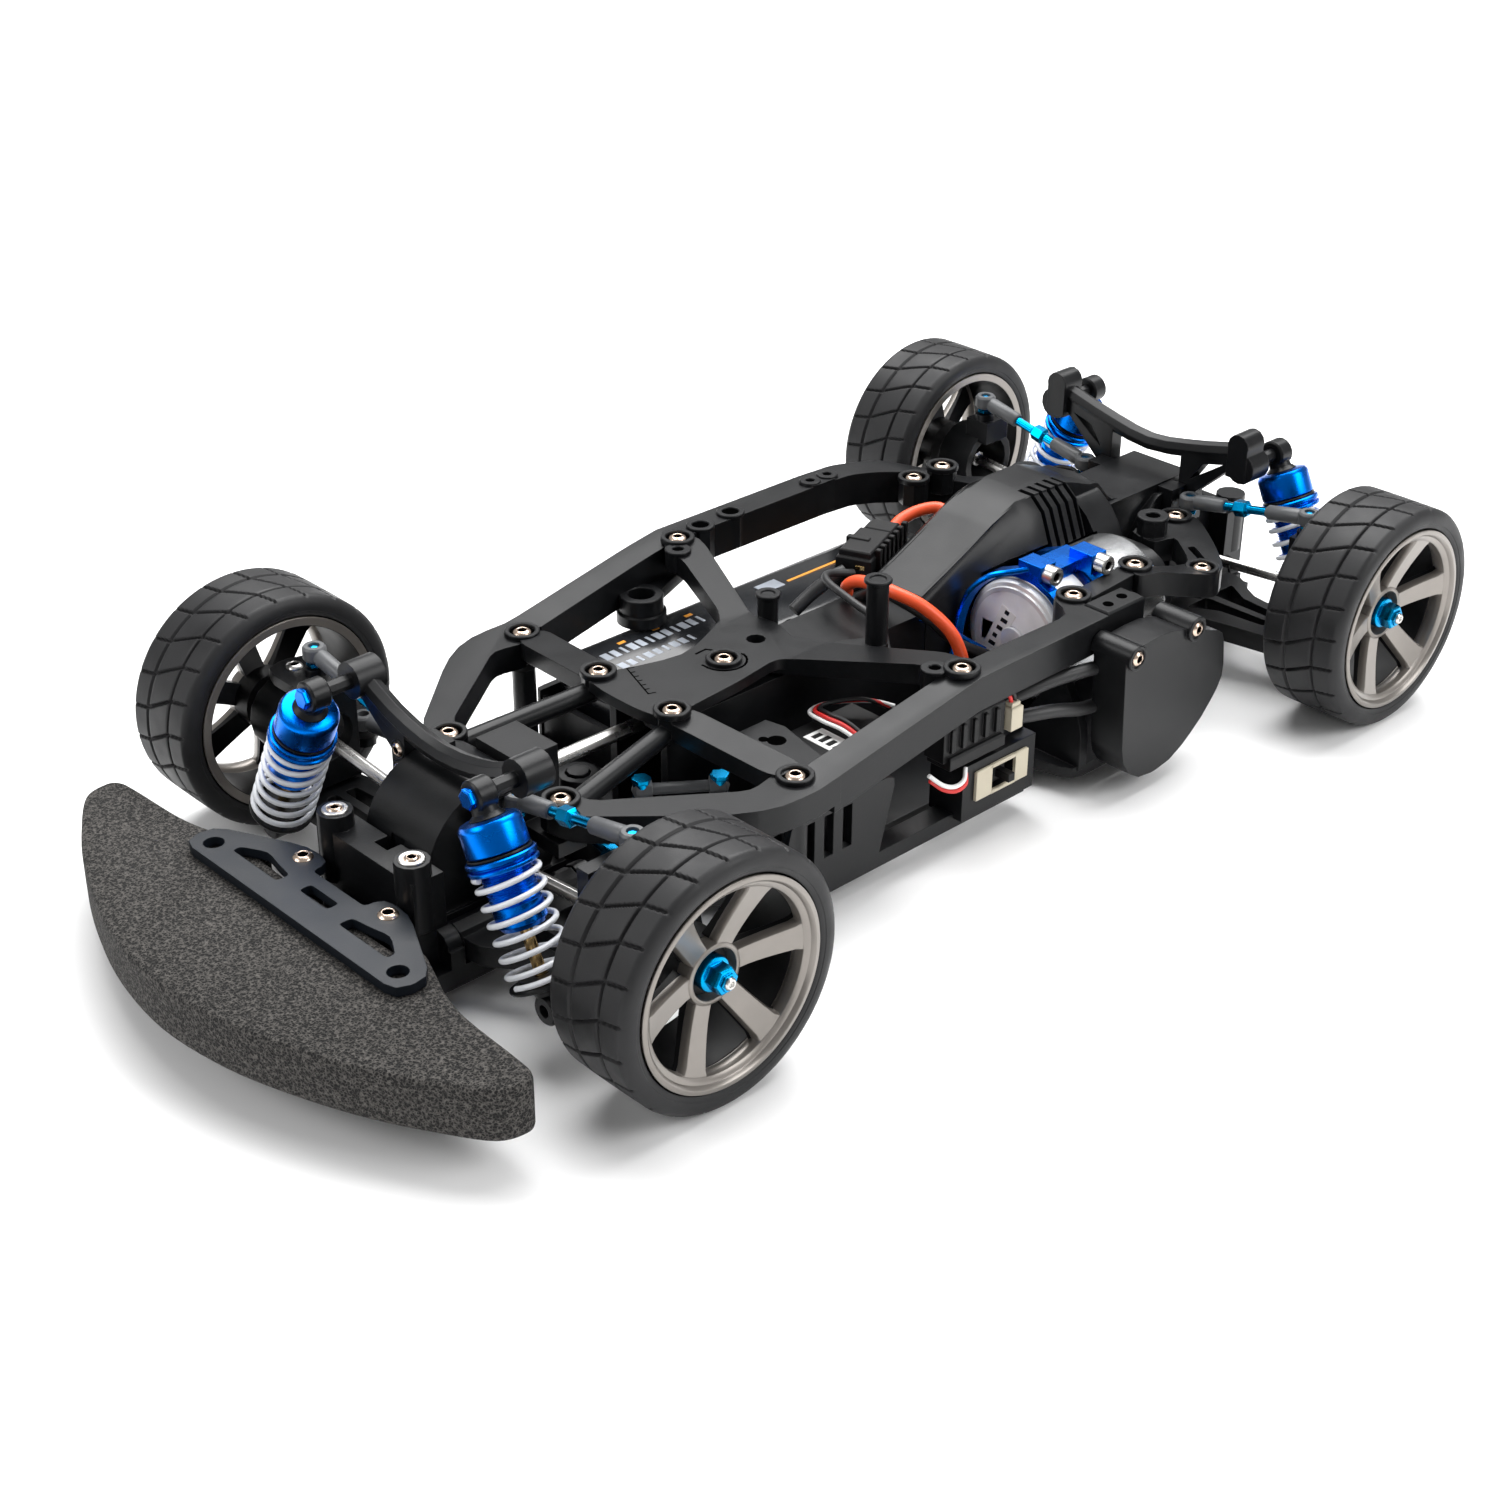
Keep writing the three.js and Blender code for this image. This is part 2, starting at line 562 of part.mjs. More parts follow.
// The open frame that ties the gearboxes together over the chassis.
const DECK_SCREWS = [
  [21.8, -115.1, 41.3], [-21.8, -115.1, 41.3], [52.2, -67.4, 41.6], [-52.2, -67.4, 41.6],
  [53.6, -10.3, 50.8], [-53.6, -10.3, 50.8], [44.9, 43.3, 50.4], [42.7, 72.2, 49.4], [-40.7, 84.5, 49.2],
  [49, 94.8, 43.4], [-42, 73.6, 48.2], [21.6, 118, 43.2], [-21.6, 118, 43.2], [24, 103.8, 48.2],
  [-24, 103.8, 48.2],
];
const PLATE_SCREWS = [[14.1, -72.9, 46.4], [-14.1, -72.9, 46.4], [2.4, -44.6, 46.2]];

function upperDeck() {
  const TOP = [[-125, 41], [-67, 41.2], [-10, 50.3], [60, 50.3], [75, 48.8], [95, 43], [130, 43]];
  // A slab that follows the deck's rising top line, at a given thickness.
  const band = (thickness) =>
    wallAlong([...TOP, ...TOP.map(([y, z]) => [y, z - thickness]).reverse()], [-90, 90]);
  const follow = (corners, thickness, radius) => common(plate(corners, [20, 70], radius), band(thickness));
  const frontRail = (side) =>
    follow(
      [
        [side * 17.5, -119.5, 3], [side * 29, -118.5, 5], [side * 55, -90, 8], [side * 60.3, -79, 6],
        [side * 60.3, -60], [side * 51, -60], [side * 51, -66, 2], [side * 47.5, -70, 2],
        [side * 49.5, -79.3, 3], [side * 26.5, -110.5, 3], [side * 17.5, -111.5, 2],
      ],
      7.5,
    );
  const leftRail = follow(
    [[50.8, -62], [60.3, -62], [59.3, 20, 3], [58.8, 57, 3], [51.4, 57, 3], [51.4, 42], [41.5, 41.6, 3],
      [41.5, 38.5, 3], [51.4, 34, 4], [51, 20, 3]],
    9.5,
  );
  const rightRail = follow(
    [
      [-50.8, -62], [-60.3, -62], [-63, -20, 5], [-63, 58, 12], [-57, 78, 8], [-30, 106, 8], [-27, 123, 4],
      [-17, 123, 4], [-16, 103, 4], [-26, 97, 6], [-47, 74, 10], [-54, 58, 10], [-54, -20, 8],
    ],
    10,
  );
  const leftBack = follow(
    [
      [45, 68, 1], [48, 67, 2], [54.5, 94, 4], [52, 101, 4], [40, 112, 6], [27, 122, 4], [17, 123, 4],
      [19, 100, 3],
      [29, 99, 3], [30, 107, 3], [43, 97, 4], [45, 90, 3],
    ],
    7,
  );
  const sideBar = strap({ x: 44.9, y: 43.3 }, { x: 42.7, y: 72.2 }, 3, [44.6, 49.2]);
  const levelArms = (corners, profile) => common(plate(corners, [20, 70], 2.5),
    wallAcross(profile, [-130, 60]));
  // The front pair of arms falls from the plate to the rails; the rear pair climbs to them.
  const frontArms = [-1, 1].map((side) =>
    levelArms(
      [[side * 6, -76.5], [side * 17.4, -76.1], [side * 47, -72], [side * 53, -68], [side * 49, -62],
        [side * 16, -67]],
      [[0, 46], [side * 14, 45.4], [side * 56, 41], [side * 56, 36], [side * 14, 40.6], [0, 41.2]],
    ),
  );
  const rearArms = [
    [[8, -36], [15.7, -30.5], [44, -14], [51, -16], [57, -12], [53, -5], [43, -4.8], [11.5, -19.2],
      [2, -24]],
    [[-8, -36], [-18.5, -27], [-44, -17], [-52, -17], [-57, -11], [-53, -5], [-47, -6], [-13.8, -20.5],
      [-2, -24]],
  ].map((corners) => {
    const side = Math.sign(corners[0][0]);
    return levelArms(corners, [
      [0, 46], [side * 13, 46], [side * 50, 50.4], [side * 60, 50.4],
      [side * 60, 44.4], [side * 50, 44.4], [side * 13, 41.4], [0, 41.4],
    ]);
  });
  const centrePlate = plate(
    [
      [-16.5, -76.5, 4], [-6, -78.4, 3], [6, -78.4, 3], [16.5, -76.5, 4], [15, -66, 3], [13.6, -50, 3],
      [11, -34, 3],
      [15.7, -30, 2], [11.5, -19.2, 3], [7.4, -23.5, 2], [-3.6, -19.5, 3], [-18.6, -23, 3],
      [-10.8, -38.8, 6],
      [-6.5, -50.2, 6], [-11.5, -67, 4],
    ],
    [42.9, 46],
  );
  const tubes = [-1, 1].map((side) => bar([side * 21.8, -115.1, 37], [side * 14.1, -72.9, 41.5], 2.8));
  const bosses = [
    ...DECK_SCREWS.map(([x, y, top]) => bar([x, y, top - (y > 40 && x > 40 && top > 48 ? 4.4 : 7.5)],
      [x, y, top], 4.4, 8)),
    ...PLATE_SCREWS.map(([x, y, top]) => bar([x, y, top - 3.3], [x, y, top], 4.4, 8)),
  ];
  const washers = [-1, 1].map((side) => bar([side * 48.4, -14.8, 45], [side * 48.4, -14.8, 50.4], 3.6));
  const ringBosses = [[-56, 0.5], [-57, 13]].map(([x, y]) => bar([x, y, 41], [x, y, 50.6], 4, 8));
  const slotBoss = strap({ x: -57, y: 45 }, { x: -57, y: 52 }, 3.4, [41, 50.8]);
  const bodyPost = bar([22, -8.5, 43], [22, -8.5, 64], 3);
  const bodyPostFoot = strap({ x: 22, y: -8.5 }, { x: 18, y: -16 }, 3.2, [42.5, 46]);
  const stubPost = bar([-9, -18, 43], [-9, -18, 52], 2.8);
  const plateHole = bar([-0.7, -30.3, 40], [-0.7, -30.3, 50], 2.6);
  const slot = plate([[37, 103.5], [45.5, 98.6], [46.5, 100.4], [38, 105.6]], [30, 60], 0.8);
  const solid = join(
    frontRail(-1), frontRail(1), leftRail, rightRail, leftBack, sideBar, frontArms, rearArms,
    centrePlate, tubes, bosses, washers, ringBosses, slotBoss, bodyPost, bodyPostFoot, stubPost,
  );
  return cut(solid, plateHole, slot);
}

// ---------------------------------------------------------------- damper stays and bumper
function damperStay(end) {
  const out = end === "front" ? -1 : 1;
  const top = DAMPER_TOP[end];
  const y = out * (AXLE_Y + 3.5);
  const ys = (half) => [y - half, y + half];
  const sag = end === "front" ? 50.8 : 56.4;
  const bowTop = end === "front" ? top.z : 63.5;
  const bow = curvedRod([[-top.x, y, bowTop], [-17, y, sag + 2.6], [0, y, sag], [17, y, sag + 2.6],
    [top.x, y, bowTop]], 2.8);
  const sides = [-1, 1].map((side) => {
    const span = (a, b) => [Math.min(side * a, side * b), Math.max(side * a, side * b)];
    const leg = wallAcross(
      [[side * 12.9, 37], [side * 18.4, 37], [side * 18.4, 46], [side * (top.x - 2), bowTop - 4],
        [side * (top.x - 2), bowTop], [side * 20, sag + 3], [side * 12.9, sag]],
      ys(2.4),
    );
    const window = wallAcross(
      [[side * 17, 50.2], [side * (top.x - 7), bowTop - 5.6], [side * 21, bowTop - 7.4]],
      ys(4),
    );
    const head = bar([side * top.x, y - 4, top.z], [side * top.x, y + 4, top.z], 4.8, 14);
    const stud = bar([side * top.x, y, top.z], [side * top.x, out * (AXLE_Y - DAMPER_Y + 4), top.z], 2, 8);
    const shellMount = end === "rear"
      ? join(bar([side * 34, y - 4.5, 66], [side * 34, y + 3.5, 66], 3.6, 12),
        block(span(30.6, 37.4), [y - 4.5, y + 3.5], [56, 66]))
      : block(span(28, 34), ys(2.4), [55, top.z]);
    const crossbar = block(span(12.9, 18.4), ys(2.4), [sag - 3, sag + 2]);
    return join(cut(leg, window), head, stud, shellMount, crossbar);
  });
  return join(bow, sides);
}

function foamBumper() {
  const side = (sign) => [
    [sign * 39, -166, 6], [sign * 58, -171.5, 8], [sign * 76, -172.4, 6], [sign * 84.5, -174.5, 4],
    [sign * 84.5, -180.5, 5],
    [sign * 71.6, -190.8, 20], [sign * 57.7, -198.5, 20], [sign * 41, -205.4, 20], [sign * 22, -211.4, 20],
  ];
  const right = side(1);
  const left = side(-1).reverse();
  return plate(
    [[-26, -168, 3], [26, -168, 3], [30.5, -163.4, 3], ...right, [0, BUMPER_FRONT_Y - 0.6, 24], ...left,
      [-30.5, -163.4, 3]],
    [11, 25],
  );
}

function bumperBrace() {
  const half = (sign) => [
    [sign * 10.2, -164.6, 1], [sign * 11, -159.4, 3], [sign * 20, -158.9, 5], [sign * 43.6, -170.6, 4],
    [sign * 42.6, -179.6, 4],
  ];
  const body = plate([...half(1), ...half(-1).reverse()], [25.3, 27.8]);
  const windows = [-1, 1].map((sign) =>
    plate([[sign * 12.4, -173.2, 1], [sign * 12.6, -169.6, 1], [sign * 19, -168.6, 1],
      [sign * 24.5, -167.4, 2], [sign * 31, -171, 1], [sign * 31, -173.2, 1]], [24, 29]),
  );
  const holes = [-1, 1].map((sign) => bar([sign * 37, -174.6, 24], [sign * 37, -174.6, 29], 2.6, 16));
  const slot = plate([[-5.6, -171.6], [5.6, -171.6], [5.6, -168.3], [-5.6, -168.3]], [24, 29], 1);
  return cut(body, windows, holes, slot);
}

// ---------------------------------------------------------------- motor, battery and servo
function motor() {
  const { x, z, radius, front, back } = MOTOR;
  const can = turned(
    [
      [0, 0], [4, 0], [4, 1.6], [radius - 2.2, 1.6], [radius - 0.6, 2.6], [radius - 0.6, 9.4],
      [radius, 9.8],
      [radius, back - front - 1], [radius - 1, back - front], [0, back - front],
    ],
    [x, front, z],
    [x, back, z],
    24,
  );
  const brushes = [-1, 1].map((side) => block([x + side * 9 - 2.6, x + side * 9 + 2.6],
    [front + 1, front + 7], [z - 3.4, z + 3.4]));
  return join(can, brushes);
}

// Two straps over the motor can, tied by a bar that carries the clamp screws.
function motorMount() {
  const { x, z } = MOTOR;
  const ring = (from, to) =>
    cut(bar([x, from, z], [x, to, z], 20, 24), bar([x, from - 1, z], [x, to + 1, z], 18.3, 24));
  const lower = [block([x - 30, x + 30], [36, 72], [0, z - 4]), block([39.6, 60], [36, 72], [0, 60])];
  const straps = [[43, 46.4], [61, 65]].map(([from, to]) => cut(ring(from, to), lower));
  const tie = cut(block([24, 33], [43.5, 65], [48, 51.6]), bar([x, 40, z], [x, 70, z], 18.2, 28));
  const lugs = [[29.5, 46], [34, 62]].map(([lugX, lugY]) => block([lugX - 4, lugX + 4],
    [lugY - 3, lugY + 3], [49, 54.6]));
  return join(straps, tie, lugs);
}

function motorGuard() {
  const corners = [[33.5, 46, 3], [52, 47, 6], [64, 43, 4], [76, 38.5, 3], [78, 24, 4], [70, 14, 6],
    [57, 5, 6], [43, 4.6, 6], [35.5, 12, 5]];
  const inner = [[35.6, 44], [52, 45, 5], [63.4, 41.2, 4], [74.2, 36.8, 2], [75.8, 24.8, 3],
    [68.6, 15.6, 5], [56.2, 7.2, 5], [44, 6.8, 5], [37.6, 13, 4]];
  const shell = cut(wallAlong(corners, [60.6, 71.4]), wallAlong(inner, [60, 69.4]));
  const screwLugs = [35.7, 60.7].map((y) => bar([59.6, y + 1.5, 44], [72.2, y + 1.5, 44], 3.6));
  return join(shell, screwLugs);
}

function batteryPack() {
  const section = [[-51.4, 8.6, 3], [-20.4, 8.6, 3], [-20.4, 32, 4], [-51.4, 32, 4]];
  return wallAcross(section, [-57, 60]);
}

function steeringServo() {
  const body = block([28, 48], [-76, -36], [8.4, 21.4]);
  const lid = plate([[28, -76], [48, -76], [48, -36], [28, -36]], [21.4, 23.8], 2);
  const ears = block([30, 46], [-79, -33], [15, 17.4]);
  const output = bar([HORN.x, HORN.y, 20], [HORN.x, HORN.y, 23.9], 5);
  return join(body, lid, ears, output);
}

// ---------------------------------------------------------------- steering linkage, drive line, switch
function steeringCrank() {
  const mirror = { x: -CRANK_TIE_BALL.x, y: CRANK_TIE_BALL.y };
  const solid = join(
    bar([0, CRANK.y, 19], [0, CRANK.y, 30.4], 5.4, 12),
    strap(CRANK, CRANK_TIE_BALL, 4, [19, 22], 3),
    strap(CRANK, mirror, 4, [19, 22], 3),
    strap(CRANK, CRANK_DRAG_BALL, 4, [19, 22], 3),
    bar([CRANK_DRAG_BALL.x, CRANK_DRAG_BALL.y, 20], [CRANK_DRAG_BALL.x, CRANK_DRAG_BALL.y, 26.3], 1.6, 8),
  );
  return cut(solid, bar([0, CRANK.y, 18], [0, CRANK.y, 32], 3.3));
}

const servoHorn = () => strap(HORN, HORN_BALL, 4, [24.2, 26.2], 2.6);

const dragLink = () =>
  endedRod([CRANK_DRAG_BALL.x, CRANK_DRAG_BALL.y, DRAG_Z], [HORN_BALL.x, HORN_BALL.y, DRAG_Z], 1.6, 2.6,
    2.6);

function propShaft() {
  return join(
    bar([0, -117, PROP_Z], [0, 118, PROP_Z], 2, 8),
    bar([0, -117, PROP_Z], [0, -110, PROP_Z], 3.6, 8),
    bar([0, 111, PROP_Z], [0, 118, PROP_Z], 3.6, 8),
  );
}

// A gear whose teeth are cut between a root circle and an outer circle.
function gear({ x, z }, radius, bore, teeth, [y0, y1]) {
  const shape = new THREE.Shape();
  const tooth = (2 * Math.PI) / teeth;
  const depth = 0.5;
  for (let k = 0; k < teeth; k += 1) {
    const flank = [[radius - depth, 0], [radius, 0.5]];
    for (const [r, share] of flank) {
      const angle = (k + share) * tooth;
      shape[k || share ? "lineTo" : "moveTo"](r * Math.cos(angle), r * Math.sin(angle));
    }
  }
  shape.closePath();
  if (bore) shape.holes.push(new THREE.Path().absarc(0, 0, bore, 0, 2 * Math.PI, true));
  const geometry = extrude(shape, y1 - y0, 8).rotateX(Math.PI / 2).translate(x, y1, z);
  return toSolid(geometry);
}

const GEAR_SPAN = [GEARS_FRONT_Y, GEARS_BACK_Y];
const spurGear = () => gear({ x: 0, z: PROP_Z }, SPUR_RADIUS - 0.35, 2.3, 31, GEAR_SPAN);
const motorPinion = () =>
  join(
    gear(MOTOR, PINION_RADIUS - 0.35, 0, 15, GEAR_SPAN),
    bar([MOTOR.x, 86.4, MOTOR.z], [MOTOR.x, 90, MOTOR.z], 1.6, 8),
  );

const powerSwitch = () => join(block([54.4, 56.2], [0.4, 5.6], [14.4, 19.6]),
  block([56, 61], [1.8, 4.2], [15.8, 18.2]));

// ---------------------------------------------------------------- the whole car
node("lower_chassis", lowerChassis(), BLACK_PLASTIC);
node("upper_deck", upperDeck(), BLACK_PLASTIC);
node("front_gearbox", frontGearbox(), BLACK_PLASTIC);
node("rear_gearbox", rearGearbox(), BLACK_PLASTIC);
node("front_damper_stay", damperStay("front"), BLACK_PLASTIC);
node("rear_damper_stay", damperStay("rear"), BLACK_PLASTIC);
node("foam_bumper", foamBumper(), CHARCOAL_FOAM);
node("bumper_brace", bumperBrace(), CARBON_PLASTIC);
node("motor", motor(), MOTOR_CAN);
node("motor_mount", motorMount(), BLUE_METAL);
node("motor_guard", motorGuard(), BLACK_PLASTIC);
node("battery_pack", batteryPack(), BATTERY_FILM);
node("steering_servo", steeringServo(), BLACK_PLASTIC);
node("steering_crank", steeringCrank(), BLACK_PLASTIC);
node("servo_horn", servoHorn(), BLACK_PLASTIC);
node("drag_link", dragLink(), BLUE_METAL);
node("prop_shaft", propShaft(), STEEL);
node("spur_gear", spurGear(), GREY_PLASTIC);
node("motor_pinion", motorPinion(), STEEL);
node("power_switch", powerSwitch(), BLACK_PLASTIC);
for (const end of ["front", "rear"]) {
  for (const side of ["left", "right"]) corner(end, side);
}

// The origin is the middle of the whole part's footprint, on the ground.
const rearmostY = AXLE_Y + TYRE_RADIUS;
car.position.y = -(BUMPER_FRONT_Y + rearmostY) / 2;

export default root;
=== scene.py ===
"""A one-tenth-scale electric touring chassis without its body shell, modelled over its CAD frame.

Lengths are in millimetres until the helpers turn them into metres. Here Y = 0 is halfway between
the axles, as in the CAD source: SHIFT moves it to the frame's own origin. -Y is the car's front.
"""
import math

import bmesh
import bpy
from mathutils import Matrix, Quaternion, Vector


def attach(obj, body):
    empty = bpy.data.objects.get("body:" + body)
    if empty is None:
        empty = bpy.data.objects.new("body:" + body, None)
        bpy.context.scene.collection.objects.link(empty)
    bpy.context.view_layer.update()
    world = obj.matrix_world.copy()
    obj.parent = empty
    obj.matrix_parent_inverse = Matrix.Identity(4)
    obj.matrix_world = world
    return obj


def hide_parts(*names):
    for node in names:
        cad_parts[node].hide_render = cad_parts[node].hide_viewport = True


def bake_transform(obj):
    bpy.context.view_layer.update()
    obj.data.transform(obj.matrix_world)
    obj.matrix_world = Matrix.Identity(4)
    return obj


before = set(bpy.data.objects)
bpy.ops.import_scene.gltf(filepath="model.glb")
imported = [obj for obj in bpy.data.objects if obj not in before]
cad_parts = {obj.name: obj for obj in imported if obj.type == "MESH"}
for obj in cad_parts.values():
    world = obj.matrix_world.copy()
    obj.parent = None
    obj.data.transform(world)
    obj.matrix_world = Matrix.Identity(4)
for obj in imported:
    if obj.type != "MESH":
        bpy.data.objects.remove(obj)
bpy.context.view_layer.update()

MM = 0.001
SHIFT = 26.45
AXLE_Y = 128.5
AXLE_Z = 32.1
WHEEL_X = {"front": 83.8, "rear": 81.7}
TYRE_RADIUS = 32.1
DAMPER_TOP = {"front": (32.0, 59.5), "rear": (35.0, 59.4)}
DAMPER_FOOT = {"front": (55.0, 13.7), "rear": (57.0, 13.7)}
DAMPER_Y = AXLE_Y + 17.5
CORNERS = [(end, side) for end in ("front", "rear") for side in ("left", "right")]
LEFT = Vector((1, 0, 0))
BACK = Vector((0, 1, 0))
UP = Vector((0, 0, 1))
ORIGIN = Vector((0, 0, 0))


def at(x, y, z):
    """A point of the model in metres, in the frame."""
    return Vector((x * MM, (y + SHIFT) * MM, z * MM))


# ---------------------------------------------------------------- camera, floor and lights
CAMERA_PLACE = (0.4127, -0.39795, 0.3361)
CAMERA_TARGET = (-0.0427, 0.03405, -0.0195)
CAMERA_ROLL = math.radians(0.25)


def add_camera():
    data = bpy.data.cameras.new("camera")
    data.sensor_width = 36
    data.lens = 58.69
    camera = bpy.data.objects.new("camera", data)
    bpy.context.scene.collection.objects.link(camera)
    place = Vector(CAMERA_PLACE)
    aim = (Vector(CAMERA_TARGET) - place).to_track_quat("-Z", "Y")
    turned = aim @ Quaternion((0, 0, 1), CAMERA_ROLL)
    camera.matrix_world = Matrix.Translation(place) @ turned.to_matrix().to_4x4()
    bpy.context.scene.camera = camera


def add_area_light(name, place, target, size, power):
    data = bpy.data.lights.new(name, "AREA")
    data.shape = "RECTANGLE"
    data.size, data.size_y = size
    data.energy = power
    light = bpy.data.objects.new(name, data)
    bpy.context.scene.collection.objects.link(light)
    light.location = place
    light.rotation_mode = "QUATERNION"
    light.rotation_quaternion = (Vector(target) - Vector(place)).to_track_quat("-Z", "Y")


def add_stage():
    scene = bpy.context.scene
    scene.view_settings.view_transform = "Standard"
    scene.view_settings.look = "None"
    world = bpy.data.worlds.new("studio")
    world.use_nodes = True
    world.node_tree.nodes["Background"].inputs["Color"].default_value = (1, 1, 1, 1)
    world.node_tree.nodes["Background"].inputs["Strength"].default_value = 0.37
    scene.world = world
    mesh = bpy.data.meshes.new("floor")
    reach = 8.0
    corners = [(-reach, -reach, 0), (reach, -reach, 0), (reach, reach, 0), (-reach, reach, 0)]
    mesh.from_pydata(corners, [], [(0, 1, 2, 3)])
    floor = bpy.data.objects.new("floor", mesh)
    scene.collection.objects.link(floor)
    paper = bpy.data.materials.new("paper")
    paper.use_nodes = True
    shader = paper.node_tree.nodes["Principled BSDF"]
    shader.inputs["Base Color"].default_value = (0.92, 0.92, 0.92, 1)
    shader.inputs["Roughness"].default_value = 0.9
    mesh.materials.append(paper)
    add_area_light("top_softbox", (-0.35, 0.45, 1.15), (0, 0, 0), (1.5, 1.2), 38)
    add_area_light("left_softbox", (1.0, 0.5, 0.75), (0, 0, 0.02), (0.7, 0.7), 9)
    add_area_light("front_softbox", (-0.5, -1.2, 0.9), (0, 0, 0.02), (0.9, 0.6), 8)


add_camera()
add_stage()


# ---------------------------------------------------------------- materials
def node_of(tree, kind, **values):
    """A shader node with its sockets, or its own settings, set."""
    made = tree.nodes.new(kind)
    for key, value in values.items():
        if key in made.inputs:
            made.inputs[key].default_value = value
        else:
            setattr(made, key, value)
    return made


def noise(tree, size, detail, stretch=(1, 1, 1)):
    """Noise whose features are about `size` millimetres across, stretched along an axis if asked."""
    place = node_of(tree, "ShaderNodeTexCoord")
    scaled = node_of(tree, "ShaderNodeMapping")
    scaled.inputs["Scale"].default_value = stretch
    made = node_of(tree, "ShaderNodeTexNoise", Scale=1 / (size * MM), Detail=detail)
    tree.links.new(place.outputs["Object"], scaled.inputs["Vector"])
    tree.links.new(scaled.outputs["Vector"], made.inputs["Vector"])
    return made.outputs["Fac"]


def spread(tree, source, low, high, start=0.3, end=0.7):
    """A value between low and high that follows a noise between start and end."""
    made = node_of(tree, "ShaderNodeMapRange")
    for socket, value in zip(("From Min", "From Max", "To Min", "To Max"), (start, end, low, high)):
        made.inputs[socket].default_value = value
    tree.links.new(source, made.inputs["Value"])
    return made.outputs["Result"]


def surface(
    name, color, roughness, metallic=0.0, grain=0.25, grain_size=0.5, mottle=0.12, coat=0.0,
    stretch=(1, 1, 1), shine=0.5,
):
    """A surface with a fine grain, patches of slightly other shade and gloss, and rounded edges.

    grain is the bump's strength, mottle the share by which shade and gloss vary, and shine how
    much a surface that isn't metal reflects.
    """
    made = bpy.data.materials.new(name)
    made.use_nodes = True
    tree = made.node_tree
    shader = tree.nodes["Principled BSDF"]
    shader.inputs["Metallic"].default_value = metallic
    shader.inputs["Specular IOR Level"].default_value = shine
    shader.inputs["Coat Weight"].default_value = coat
    shader.inputs["Coat Roughness"].default_value = 0.12
    patches = noise(tree, 9.0, 4.0)
    shade = spread(tree, patches, 1 - mottle, 1 + mottle)
    tint = node_of(tree, "ShaderNodeVectorMath", operation="SCALE")
    tint.inputs[0].default_value = color
    tree.links.new(shade, tint.inputs["Scale"])
    tree.links.new(tint.outputs["Vector"], shader.inputs["Base Color"])
    fine = noise(tree, grain_size, 3.0, stretch)
    gloss = spread(tree, patches, roughness * (1 - mottle), min(1.0, roughness * (1 + mottle)))
    tree.links.new(gloss, shader.inputs["Roughness"])
    rounded = node_of(tree, "ShaderNodeBevel", samples=4)
    rounded.inputs["Radius"].default_value = 0.3 * MM
    bump = node_of(tree, "ShaderNodeBump", Strength=grain, Distance=0.05 * MM)
    tree.links.new(rounded.outputs["Normal"], bump.inputs["Normal"])
    tree.links.new(fine, bump.inputs["Height"])
    tree.links.new(bump.outputs["Normal"], shader.inputs["Normal"])
    return made


def foam_surface():
    """Open-cell foam: dark cells between paler cell walls."""
    made = bpy.data.materials.new("foam")
    made.use_nodes = True
    tree = made.node_tree
    shader = tree.nodes["Principled BSDF"]
    shader.inputs["Roughness"].default_value = 0.95
    cells = node_of(tree, "ShaderNodeTexVoronoi", Scale=1 / (0.75 * MM), feature="DISTANCE_TO_EDGE")
    place = node_of(tree, "ShaderNodeTexCoord")
    tree.links.new(place.outputs["Object"], cells.inputs["Vector"])
    walls = spread(tree, cells.outputs["Distance"], 1.0, 0.0, 0.0, 0.3)
    speckle = noise(tree, 0.9, 4.0)
    shade = node_of(tree, "ShaderNodeValToRGB")
    shade.color_ramp.elements[0].position = 0.57
    shade.color_ramp.elements[0].color = (0.003, 0.0028, 0.0026, 1)
    shade.color_ramp.elements[1].position = 0.90
    shade.color_ramp.elements[1].color = (0.098, 0.091, 0.084, 1)
    mixed = node_of(tree, "ShaderNodeMath", operation="MULTIPLY_ADD")
    mixed.inputs[1].default_value = 0.28
    tree.links.new(walls, mixed.inputs[0])
    tree.links.new(speckle, mixed.inputs[2])
    tree.links.new(mixed.outputs["Value"], shade.inputs["Fac"])
    tree.links.new(shade.outputs["Color"], shader.inputs["Base Color"])
    bump = node_of(tree, "ShaderNodeBump", Strength=1.0, Distance=0.5 * MM)
    tree.links.new(mixed.outputs["Value"], bump.inputs["Height"])
    tree.links.new(bump.outputs["Normal"], shader.inputs["Normal"])
    return made


BLACK = surface("black_plastic", (0.0055, 0.0058, 0.0066), 0.34, grain=0.45, grain_size=0.45, shine=0.24)
DARK = surface("dark_plastic", (0.005, 0.005, 0.0055), 0.45, grain=0.3, shine=0.25)
GREY = surface("grey_plastic", (0.075, 0.078, 0.082), 0.42, grain=0.3)
BRACE = surface("brace_plastic", (0.006, 0.009, 0.014), 0.42, grain=0.6, grain_size=0.3, shine=0.3)
BLUE = surface("blue_anodised", (0.0, 0.16, 0.72), 0.27, 1.0, grain=0.12, grain_size=0.25, mottle=0.08)
CYAN = surface("cyan_anodised", (0.0, 0.30, 0.62), 0.25, 1.0, grain=0.12, grain_size=0.25, mottle=0.08)
STEEL = surface("steel", (0.62, 0.61, 0.59), 0.28, 1.0, grain=0.15, grain_size=0.2, mottle=0.1)
COPPER = surface("screw_steel", (0.66, 0.52, 0.42), 0.25, 1.0, grain=0.15, grain_size=0.2, mottle=0.1)
GOLD = surface("gold_rod", (0.62, 0.42, 0.18), 0.22, 1.0, grain=0.08, grain_size=0.2, mottle=0.08)
RIM = surface(
    "titanium_paint", (0.235, 0.215, 0.195), 0.33, 0.65, grain=0.12, grain_size=0.2, mottle=0.06, coat=0.25,
)
